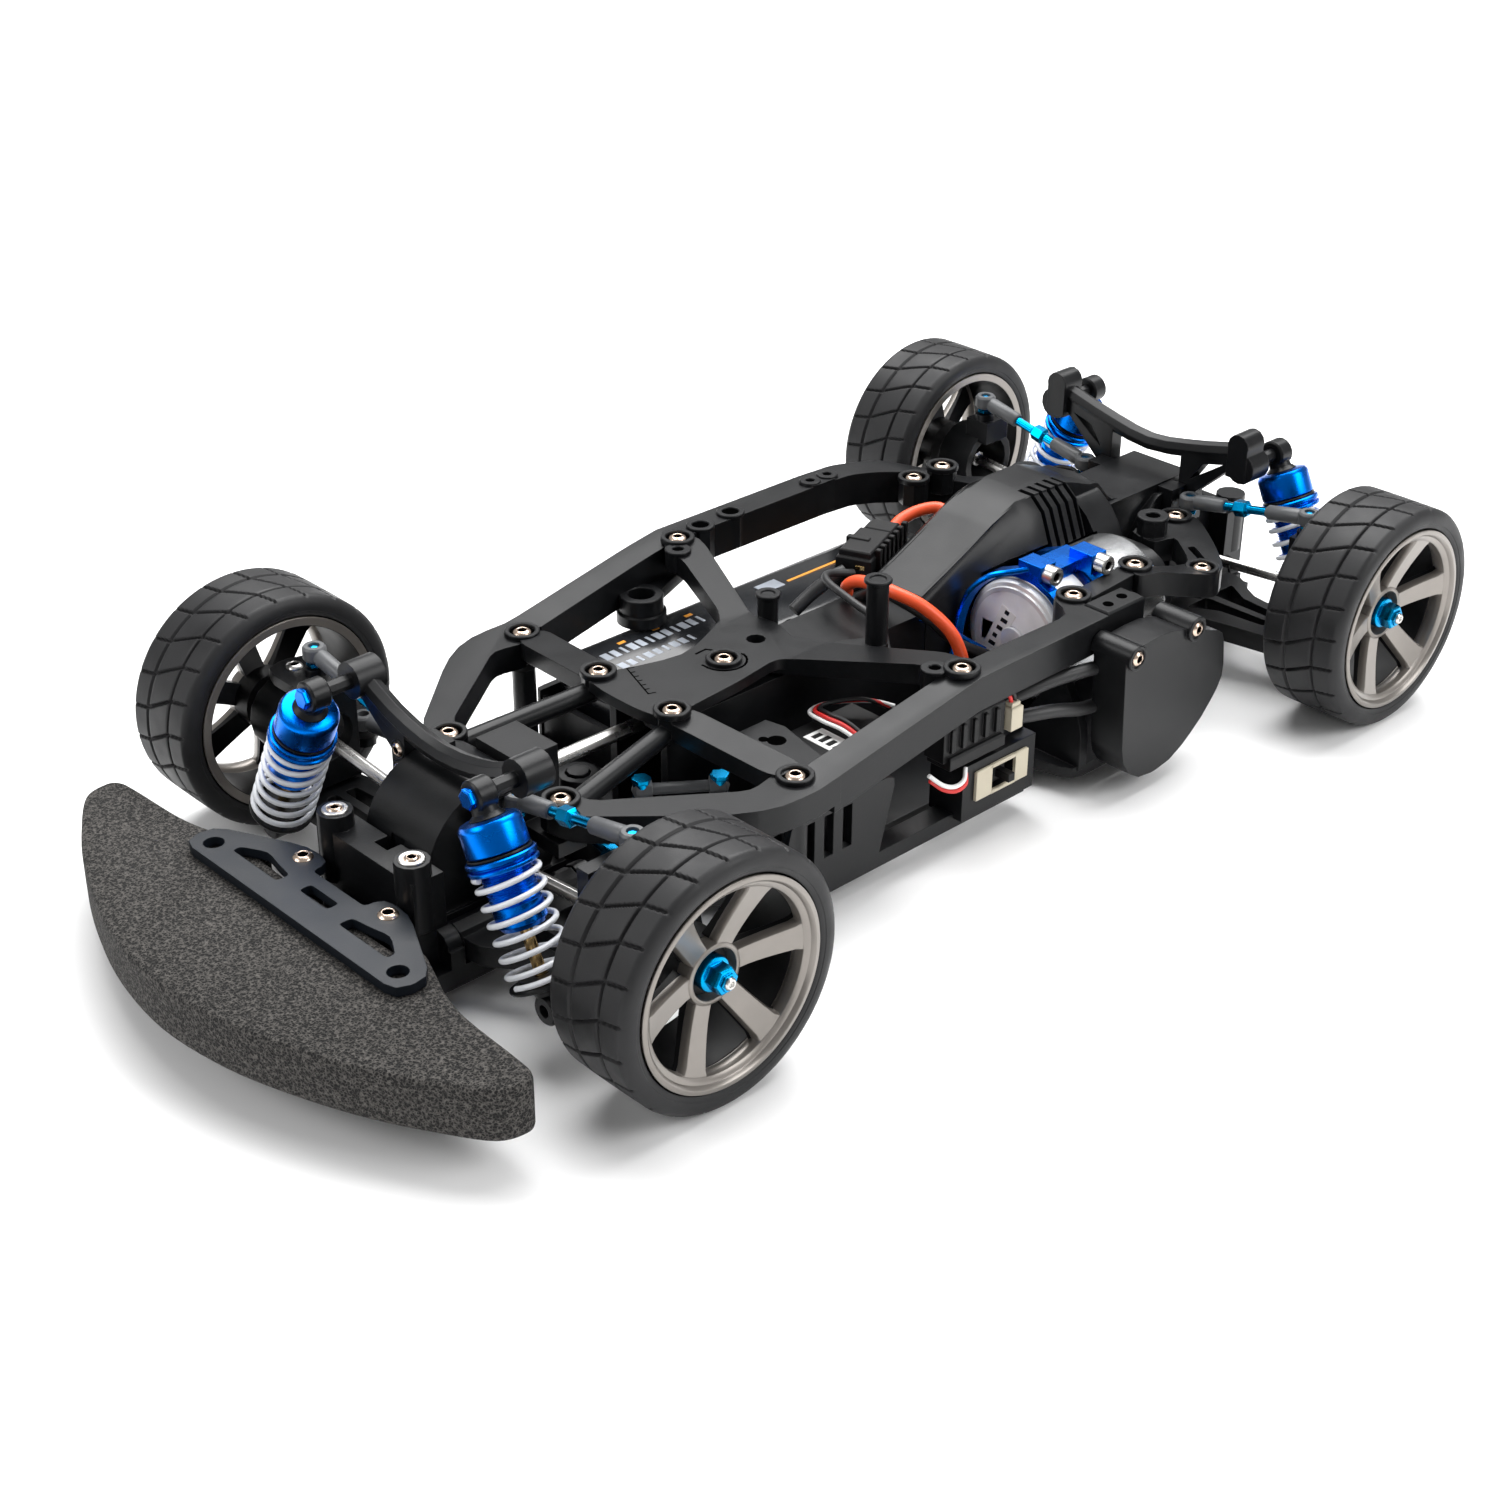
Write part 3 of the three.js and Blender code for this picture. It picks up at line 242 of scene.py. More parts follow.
RUBBER = surface(
    "tyre_rubber", (0.013, 0.013, 0.014), 0.52, grain=0.45, grain_size=0.35, mottle=0.2, shine=0.3,
)
WHITE = surface("white_coat", (0.80, 0.82, 0.86), 0.32, grain=0.1, mottle=0.03, coat=0.4)
CAN = surface(
    "motor_can", (0.66, 0.67, 0.68), 0.25, 1.0, grain_size=0.3, mottle=0.1, stretch=(6, 0.3, 6),
)
FACE = surface("motor_face", (0.90, 0.91, 0.93), 0.40, 0.1, grain=0.25, grain_size=0.3, mottle=0.1)
ENDBELL = surface("endbell", (0.72, 0.73, 0.75), 0.36, 0.3, grain=0.2)
FILM = surface("battery_film", (0.010, 0.011, 0.013), 0.22, grain=0.5, grain_size=6.0, mottle=0.15)
PAPER = surface("label_paper", (0.78, 0.78, 0.77), 0.5, grain=0.15, mottle=0.04)
ORANGE = surface("orange_silicone", (0.80, 0.085, 0.02), 0.42, grain=0.2, mottle=0.08)
RED = surface("red_silicone", (0.60, 0.02, 0.018), 0.42, grain=0.2, mottle=0.08)
BLACK_WIRE = surface("black_silicone", (0.012, 0.012, 0.013), 0.45, grain=0.2, mottle=0.08)
STRIPE = surface("orange_print", (0.85, 0.33, 0.02), 0.4, grain=0.1, mottle=0.05)
CREAM = surface("cream_plastic", (0.52, 0.47, 0.36), 0.45, grain=0.2, mottle=0.05)
FOAM = foam_surface()
# Painted shade: a near-black finish without reflection, put in holes, sockets and grooves where only shade
# falls.
HOLE_SHADE = surface("deep_shadow", (0.0008, 0.0008, 0.0008), 1.0, grain=0.05, shine=0.0)
PRINT = surface("silver_print", (0.36, 0.39, 0.44), 0.35, 0.3, grain=0.1, mottle=0.25)


# ---------------------------------------------------------------- mesh building
def frame_along(start, end):
    """Two unit vectors square to the line from start to end, and the line's own."""
    along = (end - start).normalized()
    helper = UP if abs(along.z) < 0.9 else BACK
    across = along.cross(helper).normalized()
    return across, along.cross(across).normalized(), along


def lathe(profile, start, end, sides=48, closed=False, phase=0.0):
    """[radius, distance] points, in millimetres, turned round the line from start towards end."""
    across, up, along = frame_along(start, end)
    points = []
    faces = []
    for radius, distance in profile:
        for k in range(sides):
            angle = phase + 2 * math.pi * k / sides
            spoke = across * math.cos(angle) + up * math.sin(angle)
            points.append(start + along * distance * MM + spoke * radius * MM)
    rings = len(profile)
    for ring in range(rings if closed else rings - 1):
        after = (ring + 1) % rings
        for k in range(sides):
            beside = (k + 1) % sides
            faces.append((ring * sides + k, ring * sides + beside, after * sides + beside, after * sides + k))
    return points, faces


def rod(start, end, radius, sides=32, chamfer=0.25):
    """A solid round bar with chamfered ends."""
    length = (end - start).length / MM
    edge = min(chamfer, radius * 0.5, length * 0.3)
    inside = radius - edge
    profile = [(0, 0), (inside, 0), (radius, edge), (radius, length - edge), (inside, length), (0, length)]
    return lathe(profile, start, end, sides)


def loft(sections):
    """A closed solid through loops of points that have the same count."""
    count = len(sections[0])
    points = [point for loop in sections for point in loop]
    faces = []
    for near in range(0, (len(sections) - 1) * count, count):
        far = near + count
        for k in range(count):
            beside = (k + 1) % count
            faces.append((near + k, near + beside, far + beside, far + k))
    faces.append(tuple(reversed(range(count))))
    faces.append(tuple(range(len(points) - count, len(points))))
    return points, faces


def slab(corners, low, high, chamfer=0.3):
    """A plate with a chamfered edge, from (x, y) corners and two heights."""
    centre = Vector((sum(x for x, _ in corners) / len(corners), sum(y for _, y in corners) / len(corners)))
    reach = max((Vector(corner) - centre).length for corner in corners)
    share = max(0.0, 1 - chamfer / reach)

    def loop(scale, z):
        return [at(*(centre + (Vector(corner) - centre) * scale), z) for corner in corners]

    return loft([loop(share, low), loop(1, low + chamfer), loop(1, high - chamfer), loop(share, high)])


def brick(x_span, y_span, z_span, chamfer=0.3):
    """A chamfered block."""
    (x0, x1), (y0, y1), (z0, z1) = x_span, y_span, z_span

    def loop(inset, z):
        return [
            at(x0 + inset, y0 + inset, z), at(x1 - inset, y0 + inset, z),
            at(x1 - inset, y1 - inset, z), at(x0 + inset, y1 - inset, z),
        ]

    return loft([loop(chamfer, z0), loop(0, z0 + chamfer), loop(0, z1 - chamfer), loop(chamfer, z1)])


def smooth_path(points, per_span=8):
    """Points along a Catmull-Rom curve through the given ones."""
    padded = [points[0] * 2 - points[1], *points, points[-1] * 2 - points[-2]]
    path = []
    for k in range(1, len(padded) - 2):
        before, a, b, after = padded[k - 1 : k + 3]
        for step in range(per_span):
            t = step / per_span
            path.append(
                0.5 * (2 * a + (b - before) * t + (2 * before - 5 * a + 4 * b - after) * t * t
                       + (3 * a - before - 3 * b + after) * t ** 3)
            )
    path.append(points[-1])
    return path


def tube(path, radius, sides=14):
    """A round tube along a path of points, closed at both ends."""
    loops = []
    tangent = (path[1] - path[0]).normalized()
    across = frame_along(path[0], path[1])[0]
    for k, point in enumerate(path):
        ahead = path[min(k + 1, len(path) - 1)] - path[max(k - 1, 0)]
        turned = ahead.normalized()
        across = tangent.rotation_difference(turned) @ across
        across = (across - turned * across.dot(turned)).normalized()
        up = turned.cross(across)
        tangent = turned
        turns = [2 * math.pi * j / sides for j in range(sides)]
        loops.append([
            point + (across * math.cos(angle) + up * math.sin(angle)) * radius * MM for angle in turns
        ])
    return loft(loops)


def piece(name, parts, finish, body, sharp=35.0, replaces=()):
    """One named mesh of several closed parts, which moves with a CAD body if one is named."""
    mesh = bpy.data.meshes.new(name)
    points = []
    faces = []
    for part_points, part_faces in parts:
        faces += [tuple(index + len(points) for index in face) for face in part_faces]
        points += part_points
    mesh.from_pydata(points, [], faces)
    shaped = bmesh.new()
    shaped.from_mesh(mesh)
    bmesh.ops.remove_doubles(shaped, verts=shaped.verts, dist=1e-7)
    bmesh.ops.dissolve_degenerate(shaped, edges=shaped.edges, dist=1e-7)
    bmesh.ops.recalc_face_normals(shaped, faces=shaped.faces)
    shaped.to_mesh(mesh)
    shaped.free()
    mesh.shade_smooth()
    mesh.set_sharp_from_angle(angle=math.radians(sharp))
    mesh.materials.append(finish)
    made = bpy.data.objects.new(name, mesh)
    bpy.context.scene.collection.objects.link(made)
    if body:
        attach(made, body)
    if replaces:
        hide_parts(*replaces)
    return made


def fixed(name, parts, finish, sharp=35.0, replaces=()):
    """A piece fixed to the chassis."""
    return piece(name, parts, finish, "chassis", sharp, replaces)


# ---------------------------------------------------------------- CAD parts that stay
def dress(name, finish, bevel=0.35):
    """Rounds the edges of a CAD part and gives it its finish."""
    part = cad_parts[name]
    part.data.materials.clear()
    part.data.materials.append(finish)
    part.data.polygons.foreach_set("use_smooth", [True] * len(part.data.polygons))
    weld = part.modifiers.new("weld", "WELD")
    weld.merge_threshold = 0.002 * MM
    flats = part.modifiers.new("flats", "DECIMATE")
    flats.decimate_type = "DISSOLVE"
    flats.angle_limit = math.radians(0.6)
    round_off = part.modifiers.new("round", "BEVEL")
    round_off.width = bevel * MM
    round_off.segments = 2
    round_off.limit_method = "ANGLE"
    round_off.angle_limit = math.radians(38)
    round_off.use_clamp_overlap = True
    part.modifiers.new("normals", "WEIGHTED_NORMAL").keep_sharp = True


DRESSED = {
    "lower_chassis": (BLACK, 0.4), "upper_deck": (BLACK, 0.5), "front_gearbox": (BLACK, 0.4),
    "rear_gearbox": (BLACK, 0.4), "front_damper_stay": (BLACK, 0.4), "rear_damper_stay": (BLACK, 0.4),
    "bumper_brace": (BRACE, 0.3), "motor_mount": (BLUE, 0.3), "motor_guard": (BLACK, 0.4),
    "steering_servo": (DARK, 0.4), "steering_crank": (BLACK, 0.3), "servo_horn": (DARK, 0.3),
    "drag_link": (GREY, 0.2), "prop_shaft": (STEEL, 0.2), "spur_gear": (GREY, 0.1),
    "motor_pinion": (STEEL, 0.1), "power_switch": (DARK, 0.2),
}
for name, (finish, bevel) in DRESSED.items():
    dress(name, finish, bevel)
for end, side in CORNERS:
    dress(f"{end}_{side}_lower_arm", BLACK, 0.35)
    dress(f"{end}_{side}_drive_shaft", STEEL, 0.2)
    for name in ("hub_carrier", "knuckle") if end == "front" else ("upright",):
        dress(f"{end}_{side}_{name}", BLACK, 0.3)


# ---------------------------------------------------------------- wheels
TREAD_STEPS = 600
TREAD_COLUMNS = 56
TREAD_PITCHES = 22
GROOVE_DEPTH = 0.9
GROOVE_HALF = 0.34
CENTRE_GROOVE = 4.6
# How far a cross groove runs round the tyre for each millimetre across it.
CENTRE_LEAN = 0.55
SHOULDER_LEAN = 0.2


def groove(distance):
    """How deep a groove is, from 0 to 1, at a distance in millimetres from its middle."""
    return max(0.0, min(1.0, (GROOVE_HALF - abs(distance)) / 0.22 + 0.6))


def tread_depth(across, angle):
    """The tread's depth at a place across the tyre, in millimetres, and an angle round it."""
    pitch = 2 * math.pi * TYRE_RADIUS / TREAD_PITCHES
    centre = min(abs(across), CENTRE_GROOVE)
    shoulder = abs(across) - centre
    lean = math.copysign(CENTRE_LEAN * centre + SHOULDER_LEAN * shoulder, across)
    arc = (angle * TYRE_RADIUS + lean) % pitch
    slanted = groove(min(arc, pitch - arc))
    straight = groove(abs(across) - CENTRE_GROOVE)
    fade = max(0.0, min(1.0, (11.6 - abs(across)) / 0.8))
    return GROOVE_DEPTH * max(slanted * fade, straight)


def tyre_parts():
    """The tyre round the X axis, at the origin: treaded crown, rounded shoulders and sidewalls."""
    crown = [(-10.6 + 21.2 * k / TREAD_COLUMNS) for k in range(TREAD_COLUMNS + 1)]
    shoulder = [(10.9, 31.9), (11.4, 31.6), (11.9, 31.1), (12.3, 30.4), (12.5, 29.6), (12.6, 28.8),
                (12.5, 28.0), (12.35, 27.9), (12.3, 27.2), (11.9, 26.6), (11.0, 26.45)]
    outer = [(x, radius, True) for x, radius in shoulder]
    inner = [(-x, radius, True) for x, radius in reversed(shoulder)]
    bead = [(9.0, 25.6, True), (-9.0, 25.6, True)]
    crowned = [(x, TYRE_RADIUS - 0.0009 * x * x, False) for x in crown]
    section = [*inner, *crowned, *outer, *bead]
    points = []
    for step in range(TREAD_STEPS):
        angle = 2 * math.pi * step / TREAD_STEPS
        for x, radius, plain in section:
            depth = 0.0 if plain else tread_depth(x, angle)
            if plain and abs(x) < 12 and radius > 31:
                depth = tread_depth(x, angle) * 0.7
            reach = radius - depth
            points.append(Vector((x, reach * math.cos(angle), reach * math.sin(angle))) * MM)
    count = len(section)
    faces = []
    for step in range(TREAD_STEPS):
        after = (step + 1) % TREAD_STEPS
        for k in range(count):
            beside = (k + 1) % count
            faces.append((step * count + k, step * count + beside, after * count + beside, after * count + k))
    return points, faces


def rim_parts(phase):
    """The six-spoke wheel round the X axis, at the origin, with its face towards +X.

    Its painted face comes first, then the dark lining of its barrel, hub and spoke backs.
    """
    barrel = lathe(
        [(24.0, -12.2), (26.2, -12.3), (26.3, -11.9), (25.4, -11.0), (25.4, 10.9), (26.2, 11.9), (26.2, 12.3),
         (25.8, 12.5), (25.0, 12.5), (24.6, 12.2), (24.2, 11.4), (23.4, 11.1), (22.8, 10.6), (22.6, 9.6),
         (22.6, 8.2), (23.2, 7.2), (24.0, 6.4)],
        ORIGIN, LEFT, 128, closed=True,
    )
    hub = lathe(
        [(0, -3.6), (7.9, -3.6), (7.9, 5.4), (7.5, 6.2), (6.8, 6.5), (6.4, 6.3), (6.2, 3.2), (0, 3.2)],
        ORIGIN, LEFT, 64,
    )
    painted = [barrel, hub]
    dark_lining = [
        lathe([(23.85, -12.1), (24.2, -12.1), (24.2, 6.1), (23.85, 6.1)], ORIGIN, LEFT, 128, closed=True),
        lathe([(0, -3.9), (8.1, -3.9), (8.1, 2.4), (0, 2.4)], ORIGIN, LEFT, 64),
        lathe([(0, 3.0), (6.15, 3.0), (6.15, 3.35), (0, 3.35)], ORIGIN, LEFT, 64),
    ]
    for k in range(6):
        angle = math.radians(phase + 60 * k)
        outward = Vector((0, math.cos(angle), math.sin(angle)))
        beside = Vector((0, -math.sin(angle), math.cos(angle)))
        faces = []
        backs = []
        for share in (0.0, 0.12, 0.3, 0.5, 0.7, 0.86, 0.95, 1.0):
            radius = 6.7 + (23.3 - 6.7) * share
            half = 2.6 + 0.9 * share ** 1.6 + 1.3 * max(0.0, share - 0.86) ** 1.2 * 6
            top = 5.9 + 4.9 * share ** 1.35
            bottom = 1.0 + 6.2 * share
            face = [
                (-half * 1.08, top - 2.4), (half * 1.08, top - 2.4), (half * 1.05, top - 0.6),
                (half * 0.92, top), (-half * 0.92, top), (-half * 1.05, top - 0.6),
            ]
            back = [
                (-half * 1.14, bottom), (half * 1.14, bottom),
                (half * 1.06, top - 2.1), (-half * 1.06, top - 2.1),
            ]
            faces.append([(outward * radius + beside * v + LEFT * x) * MM for v, x in face])
            backs.append([(outward * radius + beside * v + LEFT * x) * MM for v, x in back])
        painted.append(loft(faces))
        dark_lining.append(loft(backs))
    return painted, dark_lining


def nut_parts():
    """The flanged lock nut, round the X axis, on the wheel's hub."""
    rim = [(1.6, 3.4), (4.3, 3.4), (4.4, 5.9), (4.2, 6.4), (3.2, 6.8), (1.6, 6.8)]
    flange = lathe(rim, ORIGIN, LEFT, 48, closed=True)
    hexagon = lathe(
        [(1.6, 6.6), (3.5, 6.6), (3.5, 9.7), (3.15, 10.2), (2.3, 10.3), (2.2, 10.9), (1.7, 10.9)],
        ORIGIN, LEFT, 6, closed=True,
    )
    return [flange, hexagon]


def axle_parts():
    """The axle's threaded end, round the X axis, inside the nut."""
    profile = [(0, 3.1), (1.55, 3.1), (1.55, 11.3), (1.2, 11.7), (0.8, 11.7), (0.6, 11.2), (0, 11.2)]
    return [lathe(profile, ORIGIN, LEFT, 32)]


def place_wheel(end, side, name, parts, finish, replaces=(), sharp=35.0):
    """A wheel piece made round the origin, moved to its axle. Right wheels are turned to face -X."""
    turn = Matrix.Identity(4) if side == "left" else Matrix.Rotation(math.pi, 4, "Z")
    sign = 1 if side == "left" else -1
    out = -1 if end == "front" else 1
    spot = Matrix.Translation(at(sign * WHEEL_X[end], out * AXLE_Y, AXLE_Z)) @ turn
    moved = [([spot @ point for point in points], faces) for points, faces in parts]
    body = f"{end}_{side}_wheel"
    return piece(f"{end}_{side}_{name}", moved, finish, body, sharp, replaces)


SPOKE_PHASE = {"front_left": 4.5, "front_right": 20.0, "rear_left": 8.6, "rear_right": 35.0}
tyre_shape = [tyre_parts()]
for end, side in CORNERS:
    place_wheel(end, side, "rubber_tyre", tyre_shape, RUBBER, [f"{end}_{side}_tyre"])
    painted, dark_lining = rim_parts(SPOKE_PHASE[f"{end}_{side}"])
    place_wheel(end, side, "spoked_rim", painted, RIM, [f"{end}_{side}_rim"])
    place_wheel(end, side, "rim_inside", dark_lining, DARK)
    place_wheel(end, side, "wheel_nut", nut_parts(), CYAN, sharp=25.0)
    place_wheel(end, side, "axle_end", axle_parts(), STEEL)


# ---------------------------------------------------------------- dampers and springs
SPRING_TURNS = 5.5
SPRING_WIRE = 0.72
SPRING_RADIUS = 7.5
SPRING_SPAN = (17.9, 43.7)


def spring_parts(top, foot):
    """A coil spring with closed ends, between two places on the damper's line."""
    across, up, along = frame_along(top, foot)
    low, high = SPRING_SPAN
    steps = 260
    path = []
    for step in range(steps + 1):
        share = step / steps
        turns = share * (SPRING_TURNS + 1.5)
        rise = min(max(turns - 0.75, 0) / SPRING_TURNS, 1)
        first = min(turns / 0.75, 1)
        last = min(max(turns - SPRING_TURNS - 0.75, 0) / 0.75, 1)
        eased = 0.06 * first + 0.88 * rise + 0.06 * last
        angle = 2 * math.pi * turns
        spoke = across * math.cos(angle) + up * math.sin(angle)
        path.append(top + along * (low + (high - low) * eased) * MM + spoke * SPRING_RADIUS * MM)
    return [tube(path, SPRING_WIRE, 10)]


def eye_parts(centre, radius, half, bore):
    """A rod end's eye: a thick ring round the car's Y axis."""
    edge = 0.5
    return lathe(
        [(bore, -half), (radius - edge, -half), (radius, edge - half), (radius, half - edge),
         (radius - edge, half), (bore, half)],
        centre, centre + BACK, 40, closed=True,
    )


def ball_nut_parts(centre, toward, reach):
    """A ball stud's collar and hexagon, at the end of a pin along Y."""
    tip = centre + BACK * toward
    collar = [(0, 0), (2.5, 0), (2.5, reach - 1.2), (2.1, reach - 0.9), (0, reach - 0.9)]
    hexagon = [(0, reach - 1.4), (2.6, reach - 1.4), (2.6, reach - 0.2), (2.3, reach), (0, reach)]
    return [lathe(collar, centre, tip, 24), lathe(hexagon, centre, tip, 6)]


for end, side in CORNERS:
    sign = 1 if side == "left" else -1
    out = -1 if end == "front" else 1
    corner = f"{end}_{side}"
    top = at(sign * DAMPER_TOP[end][0], out * DAMPER_Y, DAMPER_TOP[end][1])
    foot = at(sign * DAMPER_FOOT[end][0], out * DAMPER_Y, DAMPER_FOOT[end][1])
    length = (foot - top).length / MM
    body = f"{corner}_damper_body"
    rod_body = f"{corner}_damper_rod"
    cap = [
        (0, 5.4), (5.6, 5.4), (6.8, 5.8), (7.4, 6.6), (7.5, 7.2),
        (7.5, 12.9), (7.2, 13.3), (6.6, 13.5), (0, 13.5),
    ]
    collar = [
        (5.9, 14.2), (8.1, 14.2), (8.4, 14.5), (8.4, 15.3), (8.0, 15.6), (7.3, 15.7),
        (7.3, 16.0), (8.0, 16.1), (8.4, 16.4), (8.4, 17.0), (8.1, 17.3), (5.9, 17.3),
    ]
    threads = []
    for k in range(10):
        threads += [(5.6, 17.3 + 0.8 * k), (6.0, 17.7 + 0.8 * k)]
    barrel = [
        (0, 13.6), (5.6, 13.6), *threads, (5.6, 25.3), (6.0, 25.6), (6.0, 30.2),
        (5.6, 30.6), (5.0, 31.4), (2.4, 31.5), (0, 31.5),
    ]
    metal = [
        lathe(cap, top, foot, 56),
        lathe(collar, top, foot, 56, closed=True),
        lathe(barrel, top, foot, 48),
    ]
    piece(f"{corner}_damper_metal", metal, BLUE, body, 28.0, [f"{corner}_damper_body"])
    neck = lathe([(0, 1), (3.0, 2.4), (3.2, 4.2), (4.4, 5.3), (0, 5.5)], top, foot, 32)
    eye = eye_parts(top, 4.0, 2.7, 1.9)
    lip = [(6.4, 13.5), (7.6, 13.5), (7.7, 13.9), (7.4, 14.2), (6.4, 14.2)]
    ring = lathe(lip, top, foot, 48, closed=True)
    piece(f"{corner}_damper_eye", [neck, eye, ring], BLACK, body)
    nut = ball_nut_parts(top, out, 4.1)
    fixed(f"{corner}_damper_stud", nut, BLUE)
    shaft = lathe([(0, 27), (1.5, 27), (1.5, 44.6), (0, 44.6)], top, foot, 24)
    piece(f"{corner}_damper_shaft", [shaft], GOLD, rod_body, replaces=[f"{corner}_damper_rod"])
    cup = [
        (1.7, 43.2), (5.6, 43.2), (5.8, 44.2), (8.0, 44.4), (8.2, 44.9), (8.0, 45.5),
        (5.0, 45.9), (3.4, 46.6), (3.0, length - 3.4), (1.7, length - 3.4),
    ]
    seat = [lathe(cup, top, foot, 40, closed=True), eye_parts(foot, 3.8, 2.6, 1.6)]
    piece(f"{corner}_spring_seat", seat, BLACK, rod_body)
    coil = spring_parts(top, foot)
    spring = piece(f"{corner}_coil_spring", coil, WHITE, None, 60.0, [f"{corner}_spring"])
    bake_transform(spring)


# ---------------------------------------------------------------- links
def turnbuckle_parts(inner, outer, sleeve):
    """The metal rod and its hexagon, and the two plastic ends, of an adjustable link."""
    length = (outer - inner).length / MM
    middle = length * 0.45
    hexagon = [(0, -2.4), (1.8, -2.4), (2.5, -1.8), (2.5, 1.8), (1.8, 2.4), (0, 2.4)]
    metal = [
        lathe([(0, 4), (1.3, 4), (1.3, length - 6), (0, length - 6)], inner, outer, 20),
        lathe([(radius, middle + along) for radius, along in hexagon], inner, outer, 6),
    ]
    socket = [(1.5, -2.0), (2.6, -2.0), (3.1, -1.4), (3.1, 1.4), (2.6, 2.0), (1.5, 2.0)]
    ends = []
    for start, end, reach in ((inner, outer, sleeve[0]), (outer, inner, sleeve[1])):
        shank = [(0, 1.5), (2.0, 2.4), (2.3, 3.4), (2.15, reach - 0.5), (1.8, reach), (0, reach)]
        ends.append(lathe(shank, start, end, 28))
        ends.append(lathe(socket, start, start + UP, 32, closed=True))
    return metal, ends


def stud_parts(centre, low, high):
    """A ball stud: its ball, collar and hexagon, standing upright."""
    up = centre + UP
    ball = [(0, -1.9), (1.2, -1.5), (1.9, 0), (1.2, 1.5), (0, 1.9)]
    return [
        lathe(ball, centre, up, 24),
        lathe([(0, low), (2.3, low), (2.3, low + 1.0), (0, low + 1.0)], centre, up, 6),
        rod(centre + UP * low * MM, centre + UP * high * MM, 1.0, 16),
    ]


for end, side in CORNERS:
    sign = 1 if side == "left" else -1
    out = -1 if end == "front" else 1
    corner = f"{end}_{side}"
    inner = at(sign * 20, out * (AXLE_Y - 2), 45)
    outer = at(sign * 61.2, out * (AXLE_Y - 2), 53)
    metal, ends = turnbuckle_parts(inner, outer, (13.0, 14.0))
    link = f"{corner}_upper_link"
    piece(f"{corner}_link_rod", metal, CYAN, link, replaces=[link])
    piece(f"{corner}_link_ends", ends, GREY, link)
    holder = f"{corner}_hub_carrier" if end == "front" else f"{corner}_upright"
    piece(f"{corner}_link_stud_outer", stud_parts(outer, -3.6, -2.0), CYAN, holder)
    fixed(f"{corner}_link_stud_inner", stud_parts(inner, -3.6, -2.0), CYAN)
    if end == "front":
        inner = at(sign * 9, -105.2, 28)
        outer = at(sign * 62, -113, 28)
        metal, ends = turnbuckle_parts(inner, outer, (12.0, 12.0))
        tie_rod = f"{corner}_tie_rod"
        piece(f"{corner}_tie_metal", metal, CYAN, tie_rod, replaces=[tie_rod])
        piece(f"{corner}_tie_ends", ends, GREY, tie_rod)


DRAG_BALLS = {"steering_crank": (16, -85, 29.4), "servo_horn": (27.6, -69.4, 29.4)}
for body, place in DRAG_BALLS.items():
    centre = at(*place)
    collar = [
        lathe([(0, 2.2), (2.5, 2.2), (2.5, 3.3), (0, 3.3)], centre, centre + UP, 6),
        lathe([(0, -3.0), (2.2, -3.0), (2.2, 2.4), (0, 2.4)], centre, centre + UP, 24),
    ]
    piece(f"{body}_ball", collar, CYAN, body)


# ---------------------------------------------------------------- foam bumper
FOAM_EDGE = [
    (26, -168), (30.5, -163.4), (39, -166), (48, -169.5), (58, -171.5), (76, -172.4), (82.5, -173.4),
    (84.4, -177), (82, -183.6), (71.6, -190.8), (57.7, -198.5), (41, -205.4), (22, -211.0), (0, -213.5),
]


def foam_loop(inset, z):
    """The bumper's outline at a height, drawn in by an inset, rounded and evenly spaced."""
    mirrored = [(-x, y) for x, y in reversed(FOAM_EDGE[:-1])]
    corners = [Vector((x, y, 0)) for x, y in [*FOAM_EDGE, *mirrored]]
    path = smooth_path([*corners, corners[0]], 5)[:-1]
    loop = []
    for k, point in enumerate(path):
        ahead = path[(k + 1) % len(path)] - path[k - 1]
        outward = Vector((-ahead.y, ahead.x, 0)).normalized()
        moved = point - outward * inset
        loop.append(at(moved.x, moved.y, z))
    return loop


# How far the pad's outline is drawn in at each height.
FOAM_LAYERS = [(1.0, 11.1), (0.3, 11.5), (0.02, 12.4), (0.0, 18), (0.02, 23.6), (0.3, 24.5), (1.0, 24.95)]
pad = loft([foam_loop(inset, z) for inset, z in FOAM_LAYERS])
foam = fixed("foam_pad", [pad], FOAM, 50.0, ["foam_bumper"])


# ---------------------------------------------------------------- screws, rings and washers
RAISED = 0.55
DECK_SCREWS = [
    (21.8, -115.1, 41.3), (-21.8, -115.1, 41.3), (52.2, -67.4, 41.6), (-52.2, -67.4, 41.6),
    (53.6, -10.3, 50.8), (-53.6, -10.3, 50.8), (44.9, 43.3, 50.4), (42.7, 72.2, 49.4),
    (-40.7, 84.5, 49.2), (49, 94.8, 43.4), (-42, 73.6, 48.2), (21.6, 118, 43.2), (-21.6, 118, 43.2),
    (14.1, -72.9, 46.4), (-14.1, -72.9, 46.4), (2.4, -44.6, 46.2),
]
BRACE_SCREWS = [(17, -162.7, 27.8), (-17, -162.7, 27.8)]
# Empty fixing holes: place, top, outer and inner radius.
EMPTY_HOLES = [
    (-56, 0.5, 50.6, 4.1, 2.4), (-57, 13, 50.6, 4.1, 2.4), (-57, 45, 50.8, 3.2, 1.3),
    (-57, 52, 50.8, 3.2, 1.3), (22, -8.5, 63.9, 3.7, 2.1), (-9, -18, 51.9, 3.4, 1.8),
    (48.4, -14.8, 50.4, 3.7, 1.5), (-48.4, -14.8, 50.4, 3.7, 1.5),
    (24, 103.8, 48.2, 4.6, 2.0), (-24, 103.8, 48.2, 4.6, 2.0),
]
SILVER_WASHERS = [(15.2, -153.9, 38.1), (-15.2, -153.9, 38.1)]


